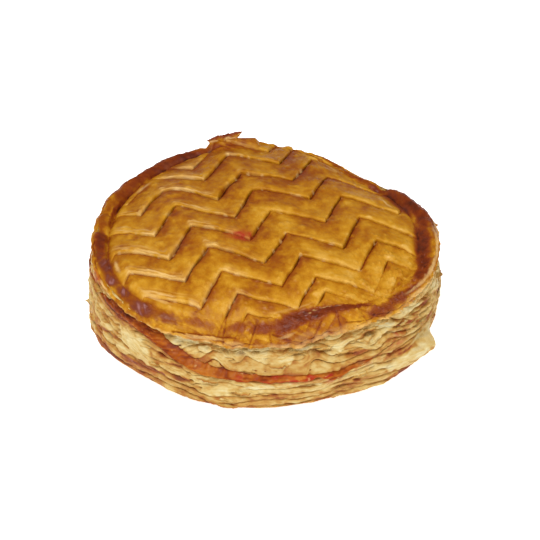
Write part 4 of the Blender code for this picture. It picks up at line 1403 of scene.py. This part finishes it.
# filling that shows along the seam: each list gives degrees, half length in mm, strength or mm
seamFilling = {
    "columns": 1100,
    "rows": 36,
    "drawnIn": 5,  # how far inside the seam its section closes
    "redAt": [
        (262, 5, 0.4), (272, 5, 0.7), (282, 7, 0.8), (294, 5, 0.7), (319, 2, 0.5), (100, 14, 0.7),
        (22, 12, 0.7), (150, 10, 0.5), (60, 9, 0.5),
    ],
    "dropsAt": [
        (293.5, 3.0, 1.5), (281, 3.0, 0.4), (271, 2.0, 0.5), (262, 2.0, 0.6), (287, 1.6, -0.7),
        (266.5, 1.5, -0.5), (213, 2.0, 1.8), (303, 1.6, 0.6), (246, 3.0, 0.3), (98, 6.0, 1.2),
        (24, 5.0, 0.9),
    ],
    # where the leaves close over it
    "sunk": [(342, 22, 1.5), (194, 12, 1.0), (313, 6, 1.0), (299.5, 2, 0.5), (60, 12, 0.8), (130, 14, 0.6)],
}


def seamEdges(angle):
    # upper and lower edge of the filling: the knots' curve plus a coarse and a fine cloud
    x, y = noiseSpot(angle)

    def ragged(layer):
        return 0.5 * cloud(x / 3.5, y / 3.5, layer, 310, 2) + 0.3 * cloud(x / 1.2, y / 1.2, layer, 311, 2)

    return fromKnots(seamTop, angle) + ragged(0.5), fromKnots(seamLow, angle) + ragged(8.5)


def hillsRound(angle, hills):
    # bells along the seam, summed
    return sum(size * hill(mmAside(angle, degrees), 0, w) for degrees, w, size in hills)


def buildFilling():
    # band from the lid's foot out and down to the base, bulged; its section closes inside.
    # It is carried round the seam between its upper and lower edge; drops let the lower edge hang
    look = seamFilling
    angle = (np.arange(look["columns"]) / look["columns"] * turn)[None]
    topZ, lowZ = seamEdges(angle)
    lowZ = lowZ - hillsRound(angle, look["dropsAt"]) * (1 + 0.5 * softNoise(angle * 45, 0, 0, 301))
    topR, _ = lidWall(angle, 0.03)
    seam = along("seamRadius", angle)
    t = np.linspace(0, 1, look["rows"])[:, None]
    thick = topZ - lowZ
    height = topZ + 0.3 - (thick + 0.5) * t
    bulge = 0.35 - 0.05 * thick
    radius = topR - 0.9 + (seam + 0.15 - topR + 0.9) * smoothStep(0, 0.8, t)
    radius = radius + bulge * np.sin(np.pi * t) ** 0.6 - 1.0 * smoothStep(0.86, 1, t)
    radius = radius - hillsRound(angle, look["sunk"])

    x, y = noiseSpot(angle)
    swell = 0.45 * cloud(x / 5, y / 5, height / 2.5, 302, 2)
    swell = swell + 0.26 * cloud(x / 1.5, y / 1.5, height / 0.9, 303, 3)
    ridges = softNoise(x / 4, y / 4, height / 0.42 + 0.8 * softNoise(x / 3, y / 3, 1, 312), 313)
    swell = swell + 0.22 * ridges
    caps = blisters(angle * meanRadius + 0 * t, height, 1.9, 304, 0.35)
    radius = radius + (swell + 0.25 * caps) * np.sin(np.pi * np.clip(t, 0.02, 0.98))

    broken = 0.45 + 1.5 * softNoise(x / 3, y / 3, height / 0.9, 305)
    jam = np.clip(hillsRound(angle, look["redAt"]) * smoothStep(0.1, 0.5, t) * broken, 0, 0.9)
    # darker towards the top, under the lid's foot: painted shade
    tone = 0.46 + 0.3 * softNoise(x / 5, y / 5, height / 3, 306) + 0.34 * smoothStep(0.5, 0.0, t)
    tone = tone + 0.18 * softNoise(x / 1.2, y / 1.2, height / 0.6, 307)
    tone = tone - 0.25 * caps - 0.2 * ridges + 0.3 * smoothStep(0.8, 1.0, t)
    degrees = np.degrees(angle)
    tone = tone + 0.2 * smoothStep(232, 218, degrees) * (angle > np.pi)
    crumb = smoothStep(0.5, 0.75, cloud(x / 1.6, y / 1.6, height / 0.5, 314, 2))
    crumb = crumb * (0.5 + 0.5 * smoothStep(248, 262, degrees))
    floury = smoothStep(-0.3, 0.3, softNoise(x / 2.2, y / 2.2, height / 0.8, 315))
    crumb = np.maximum(crumb, smoothStep(298, 312, degrees) * floury)

    inner = np.array([[0.9], [0.1]])
    radius = np.concatenate([radius, np.minimum(topR, seam) - look["drawnIn"] + 0 * inner])
    height = np.concatenate([height, topZ - 0.4 - (thick - 0.8) * inner])
    marks = {
        "tone": padRows(tone, angle, len(inner), 0.5),
        "jam": padRows(jam, angle, len(inner), 0),
        "crumb": padRows(0.8 * crumb, angle, len(inner), 0),
    }
    faces = ringFaces(len(radius), look["columns"], True)[:, ::-1]
    return meshPiece("seamFilling", place(radius, angle, height), faces, marks, fillingFinish)


# loose ends of leaves on the side
flakeSet = {
    # degrees, height where it leaves the side, radius there, width, length, lift in degrees, curl, tone
    "side": [
        (340.0, 10.2, 59.8, 6.0, 2.4, -6, -0.4, 0.5),
        (346.8, 21.6, 60.4, 3.4, 2.0, 10, -0.2, 0.34), (7.7, 26.6, 60.0, 2.6, 2.2, 16, -0.2, 0.5),
        (354.0, 17.0, 61.0, 6.0, 1.8, 4, -0.3, 0.4),
        (321.0, 17.6, 57.2, 8.0, 1.6, 8, -0.5, 0.3), (300.0, 16.2, 53.6, 10.0, 1.9, 10, -0.4, 0.2),
        (293.0, 18.0, 51.4, 8.0, 1.7, 12, -0.5, 0.24), (308.0, 18.4, 54.6, 8.0, 1.8, 6, -0.5, 0.28),
        (224.0, 12.9, 57.0, 9.0, 1.7, 14, -0.5, 0.2), (212.0, 13.0, 58.4, 6.0, 1.4, 10, -0.3, 0.25),
        (203.0, 14.2, 60.0, 6.0, 1.2, 8, -0.3, 0.25), (196.0, 18.4, 61.2, 6.0, 1.0, 8, -0.3, 0.5),
        (218.0, 9.0, 57.6, 9.0, 1.3, 6, -0.4, 0.22), (250.0, 7.0, 56.0, 8.0, 1.2, 2, -0.4, 0.3),
        (287.0, 6.8, 56.2, 12.0, 1.2, 2, -0.4, 0.26), (191.0, 12.0, 61.4, 7.0, 1.3, 6, -0.3, 0.3),
        (13.0, 19.5, 57.6, 10.0, 2.2, 10, -0.5, 0.3), (40.0, 18.0, 50.6, 9.0, 2.4, 6, -0.5, 0.34),
        (66.0, 20.5, 52.8, 12.0, 2.1, 12, -0.4, 0.3),
        (95.0, 18.5, 57.4, 12.0, 2.5, 6, -0.5, 0.3), (123.0, 20.5, 60.0, 11.0, 2.0, 8, -0.5, 0.34),
        (152.0, 18.5, 60.2, 11.0, 2.2, 10, -0.4, 0.3),
        (176.0, 21.0, 60.4, 9.0, 1.6, 8, -0.4, 0.34), (28.0, 8.0, 54.6, 10.0, 1.9, 4, -0.5, 0.3),
        (58.0, 6.0, 50.8, 12.0, 2.1, 0, -0.5, 0.34),
        (110.0, 9.0, 59.0, 11.0, 1.8, 6, -0.4, 0.3), (142.0, 7.0, 60.0, 12.0, 2.0, 4, -0.4, 0.32),
        (172.0, 10.0, 61.0, 10.0, 1.5, 4, -0.4, 0.3),
        (257.5, 1.1, 59.2, 9.0, 1.1, 1, 0.0, 0.4), (248.0, 0.9, 56.2, 4.0, 0.9, 4, 0.0, 0.5),
        (190.0, 6.6, 61.4, 2.2, 2.0, 6, -0.2, 0.42),
    ],
    "small": 54,  # thin leaf ends strewn over the side
    "bareArc": (232, 275),  # no small ones on the lid's side here
    "across": 26,
    "outwards": 11,
    "rooted": 1.6,  # how far a flake starts inside the side
    "thick": 0.4,
}
# skin that stands up at the back
peeledEdge = {
    # rows from its root to its free edge, each point with degrees, radius and height
    "sliver": [
        [
            (99.3, 58.8, 34.3), (101.9, 58.0, 32.2), (105.5, 58.0, 31.7), (108.5, 58.2, 31.6),
            (111.5, 58.4, 31.2),
        ],
        [
            (99.1, 58.9, 34.5), (101.9, 58.6, 33.4), (105.5, 58.8, 33.0), (108.5, 59.0, 32.8),
            (111.8, 59.2, 32.2),
        ],
        [
            (98.9, 59.0, 34.8), (101.8, 59.4, 34.5), (105.5, 59.8, 34.0), (109.0, 60.0, 33.5),
            (112.4, 60.2, 32.5),
        ],
    ],
    "across": 120,
    "upwards": 40,
    "ragged": 0.2,
    "thick": 0.45,
}


def closeSheet(upper, lower):
    # faces of a two-sided sheet: top, underside, and a strip round the border
    rows, columns = upper.shape[:2]
    count = rows * columns
    index = np.arange(count).reshape(rows, columns)
    quads = np.stack([index[:-1, :-1], index[:-1, 1:], index[1:, 1:], index[1:, :-1]], -1).reshape(-1, 4)
    border = np.concatenate([index[0], index[1:, -1], index[-1, -2::-1], index[-2:0:-1, 0]])
    after = np.roll(border, -1)
    side = np.stack([border, after, after + count, border + count], 1)
    points = np.concatenate([upper.reshape(-1, 3), lower.reshape(-1, 3)])
    return points, np.concatenate([quads[:, ::-1], quads + count, side])


def flakeSheet(degrees, height, radius, width, length, lift, curl, tone, seed):
    # sheet on (s across, t outwards): its width narrows outwards, its far edge is ragged,
    # it climbs by the lift angle and bends by the curl times t squared
    s, t = np.meshgrid(np.linspace(-1, 1, flakeSet["across"]), np.linspace(0, 1, flakeSet["outwards"]))
    ragged = 1 + 0.3 * softNoise(s * 3.5 + seed, seed, 0, 401) + 0.16 * softNoise(s * 11, seed, 2, 402)
    reach = length * (1 - 0.55 * np.abs(s) ** 2.6) * ragged
    arc = s * width / 2 * (1 - 0.18 * t)
    rooted = flakeSet["rooted"]
    outwards = -rooted + (reach + rooted) * t
    free = np.clip(outwards / max(length, 0.1), 0, 1.5)
    rise = outwards * math.tan(math.radians(lift)) + curl * length * 0.35 * free**2
    rise = rise + 0.22 * softNoise(s * 2.5, t * 1.5, seed, 403) + 0.1 * softNoise(s * 7, t * 3, seed, 404)
    angle = math.radians(degrees) + arc / radius
    edge = np.minimum(np.minimum((1 - np.abs(s)) * 6, (1 - t) * 5), 1)
    half = 0.5 * flakeSet["thick"] * np.sqrt(np.clip(edge, 0.02, 1))
    low = np.maximum(height + rise - half, 0.15)
    high = np.maximum(height + rise + half, 0.25)
    points, faces = closeSheet(place(radius + outwards, angle, high), place(radius + outwards, angle, low))
    shade = tone + 0.26 * smoothStep(0.75, 1.0, t) + 0.12 * softNoise(s * 3, t * 2, seed, 405)
    return points, faces, np.tile(shade.ravel(), 2)


def smallFlakes():
    # evenly turned round the side, each by the golden angle, at fixed random heights
    made = []
    for k in range(flakeSet["small"]):
        pick = [float(lattice(np.int64(k), np.int64(j), np.int64(1), 411)) for j in range(7)]
        degrees = (k * 137.508) % 360
        angle = np.array([math.radians(degrees)])
        wall = lidWall if pick[0] > 0.45 else baseWall
        radius, height = wall(angle, 0.08 + 0.84 * pick[1])
        if flakeSet["bareArc"][0] < degrees < flakeSet["bareArc"][1] and wall is lidWall:
            continue
        width, length = 3 + 6 * pick[2], 0.7 + 0.9 * pick[3]
        lift, curl, tone = -6 + 20 * pick[4], -0.3 * pick[5], 0.18 + 0.25 * pick[6]
        made.append((degrees, float(height[0]), float(radius[0]) - 0.2, width, length, lift, curl, tone))
    return made


def joinSheets(name, sheets, finish, extra):
    # sheets into one piece; extra turns their joined mark into the marks of the finish
    points, faces, marks, start = [], [], [], 0
    for p, f, mark in sheets:
        points.append(p)
        faces.append(f + start)
        marks.append(mark)
        start += len(p)
    marks = np.concatenate(marks)
    piece = meshPiece(name, np.concatenate(points), np.concatenate(faces), extra(marks), finish)
    mesh = bmesh.new()
    mesh.from_mesh(piece.data)
    bmesh.ops.recalc_face_normals(mesh, faces=mesh.faces)
    mesh.to_mesh(piece.data)
    mesh.free()
    return piece


def buildFlakes():
    # every listed flake and every small one, each with its own noise
    flakes = flakeSet["side"] + smallFlakes()
    sheets = [flakeSheet(*values, k * 3.7 + 1) for k, values in enumerate(flakes)]

    def marks(tone):
        return {"tone": tone, "gap": 0 * tone, "jam": 0 * tone}

    return joinSheets("sideFlakes", sheets, leafFinish, marks)


def rowCurve(rows, s, t):
    # control rows blended: Catmull-Rom along each row, quadratic from root to free edge
    table = np.array(rows, float)
    count = table.shape[1]
    spot = np.clip(s, 0, 1) * (count - 1)
    low = np.minimum(spot.astype(int), count - 2)
    u = (spot - low)[..., None]
    near = [table[:, np.clip(low + k, 0, count - 1)] for k in (-1, 0, 1, 2)]
    line = catmullRom(*near, u)
    t = t[..., None]
    return (1 - t) * (1 - 2 * t) * line[0] + 4 * t * (1 - t) * line[1] + t * (2 * t - 1) * line[2]


def peeledSheet(rows, seed):
    # sheet on (s along, t from root to free edge) on the rows' surface, waved by noise,
    # thinning to its ends, with a ragged free edge; its mark is t
    across = np.linspace(0, 1, peeledEdge["across"])
    s, t = np.meshgrid(across, np.linspace(0, 1, peeledEdge["upwards"]))
    tip = 0.5 * softNoise(s * 9, seed, 0, 421) + 0.3 * softNoise(s * 30, seed, 1, 422)
    curve = rowCurve(rows, s, np.clip(t * (1 + peeledEdge["ragged"] * tip), 0, 1.05))
    angle, radius, height = np.radians(curve[..., 0]), curve[..., 1], curve[..., 2]
    wave = 0.3 * softNoise(s * 9, t * 2, seed, 423) + 0.12 * softNoise(s * 30, t * 7, seed, 424)
    edge = np.minimum(np.minimum(s, 1 - s) * 14, (1 - t) * 8)
    half = 0.5 * peeledEdge["thick"] * np.sqrt(np.clip(edge, 0.02, 1))
    inside = place(radius + wave - half, angle, height)
    points, faces = closeSheet(inside, place(radius + wave + half, angle, height))
    return points, faces, np.tile(t.ravel(), 2)


def buildPeel():
    # a narrow strip: pale at its root, browned at its free edge
    sliver = peeledSheet(peeledEdge["sliver"], 5.0)
    x, y, z = sliver[0].T
    grain = cloud(x / 2.5, y / 2.5, z / 1.2, 425, 2)

    def marks(t):
        bake = 0.5 + 0.3 * smoothStep(0.4, 0.8, t) + 0.2 * grain
        bareAndGlint = 0.7 * hill(t, 0.42, 0.16) * smoothStep(-0.4, 0.2, grain)
        fixed = {"purple": 0 * t, "jam": 0 * t, "gloss": 0.1 + 0 * t}
        return {"bake": np.clip(bake, 0, 1), "bareAndGlint": np.clip(bareAndGlint, 0, 1), **fixed}

    return joinSheets("peeledEdge", [sliver], crustFinish, marks)


topPiece = buildLidTop()
print("lid top", len(topPiece.data.polygons))
rimPiece = buildRim()
print("rim", len(rimPiece.data.polygons))
lidSidePiece = buildLidSide()
print("lid side", len(lidSidePiece.data.polygons))
basePiece = buildBase()
print("base", len(basePiece.data.polygons))
fillingPiece = buildFilling()
print("filling", len(fillingPiece.data.polygons))
flakePiece = buildFlakes()
peelPiece = buildPeel()
print("flakes", len(flakePiece.data.polygons) + len(peelPiece.data.polygons))

for piece in (topPiece, rimPiece, lidSidePiece, peelPiece):
    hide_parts("lid_pastry")
for piece in (basePiece, flakePiece):
    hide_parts("base_pastry")
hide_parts("filling")
for piece in (topPiece, rimPiece, lidSidePiece, peelPiece, basePiece, fillingPiece, flakePiece):
    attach(piece, "root")

# pale floor, three softboxes and the camera, in metres
studio = {
    "floor": (0.92, 0.92, 0.92),
    "floorWidth": 6,
    "floorDrop": 0.0004,
    "glow": 0.75,  # so that the floor stays nearly white
    "sky": (1, 0.99, 0.97),
    "skyPower": 0.42,
    # place, size and power of each softbox
    "keyLight": ((-0.14, -0.26, 0.7), 0.3, 3.9),
    "fillLight": ((0.6, -0.42, 0.42), 0.6, 2.0),
    "leftLight": ((-0.6, -0.32, 0.3), 0.5, 0.8),
    "cameraTilt": 38.0,
    "cameraAway": 0.496,
    "lookAt": (0.0015, -0.0025, 0.015),
    "lens": 92.6,
}


def buildFloor():
    bpy.ops.mesh.primitive_plane_add(size=studio["floorWidth"], location=(0, 0, -studio["floorDrop"]))
    floor = bpy.context.object
    floor.name = "studioFloor"
    material, _, shader, _ = newMaterial("paleFloor")
    shader.inputs["Base Color"].default_value = (*studio["floor"], 1)
    shader.inputs["Roughness"].default_value = 0.9
    shader.inputs["Specular IOR Level"].default_value = 0.1
    shader.inputs["Emission Color"].default_value = (1, 1, 1, 1)
    shader.inputs["Emission Strength"].default_value = studio["glow"]
    floor.data.materials.append(material)


def addSoftbox(name, spot, size, power):
    # round area light, turned to the middle of the cake
    light = bpy.data.lights.new(name, "AREA")
    light.shape = "DISK"
    light.size = size
    light.energy = power
    lamp = bpy.data.objects.new(name, light)
    lamp.location = spot
    lamp.rotation_euler = (Vector(studio["lookAt"]) - Vector(spot)).to_track_quat("-Z", "Y").to_euler()
    bpy.context.scene.collection.objects.link(lamp)


def addCamera():
    # looks down at the cake by the tilt, from in front of it
    tilt = math.radians(studio["cameraTilt"])
    aim = Vector(studio["lookAt"])
    data = bpy.data.cameras.new("camera")
    data.sensor_width = 36
    data.lens = studio["lens"]
    data.clip_start = 0.01
    camera = bpy.data.objects.new("camera", data)
    camera.location = aim + studio["cameraAway"] * Vector((0, -math.cos(tilt), math.sin(tilt)))
    camera.rotation_euler = (aim - camera.location).to_track_quat("-Z", "Y").to_euler()
    bpy.context.scene.collection.objects.link(camera)
    bpy.context.scene.camera = camera


def addSky():
    # even light from all round
    world = bpy.data.worlds.new("studioWorld")
    world.use_nodes = True
    background = world.node_tree.nodes["Background"]
    background.inputs["Color"].default_value = (*studio["sky"], 1)
    background.inputs["Strength"].default_value = studio["skyPower"]
    bpy.context.scene.world = world


buildFloor()
for name in ("keyLight", "fillLight", "leftLight"):
    addSoftbox(name, *studio[name])
addSky()
bpy.context.scene.view_settings.view_transform = "Standard"
addCamera()
print("studio ready")
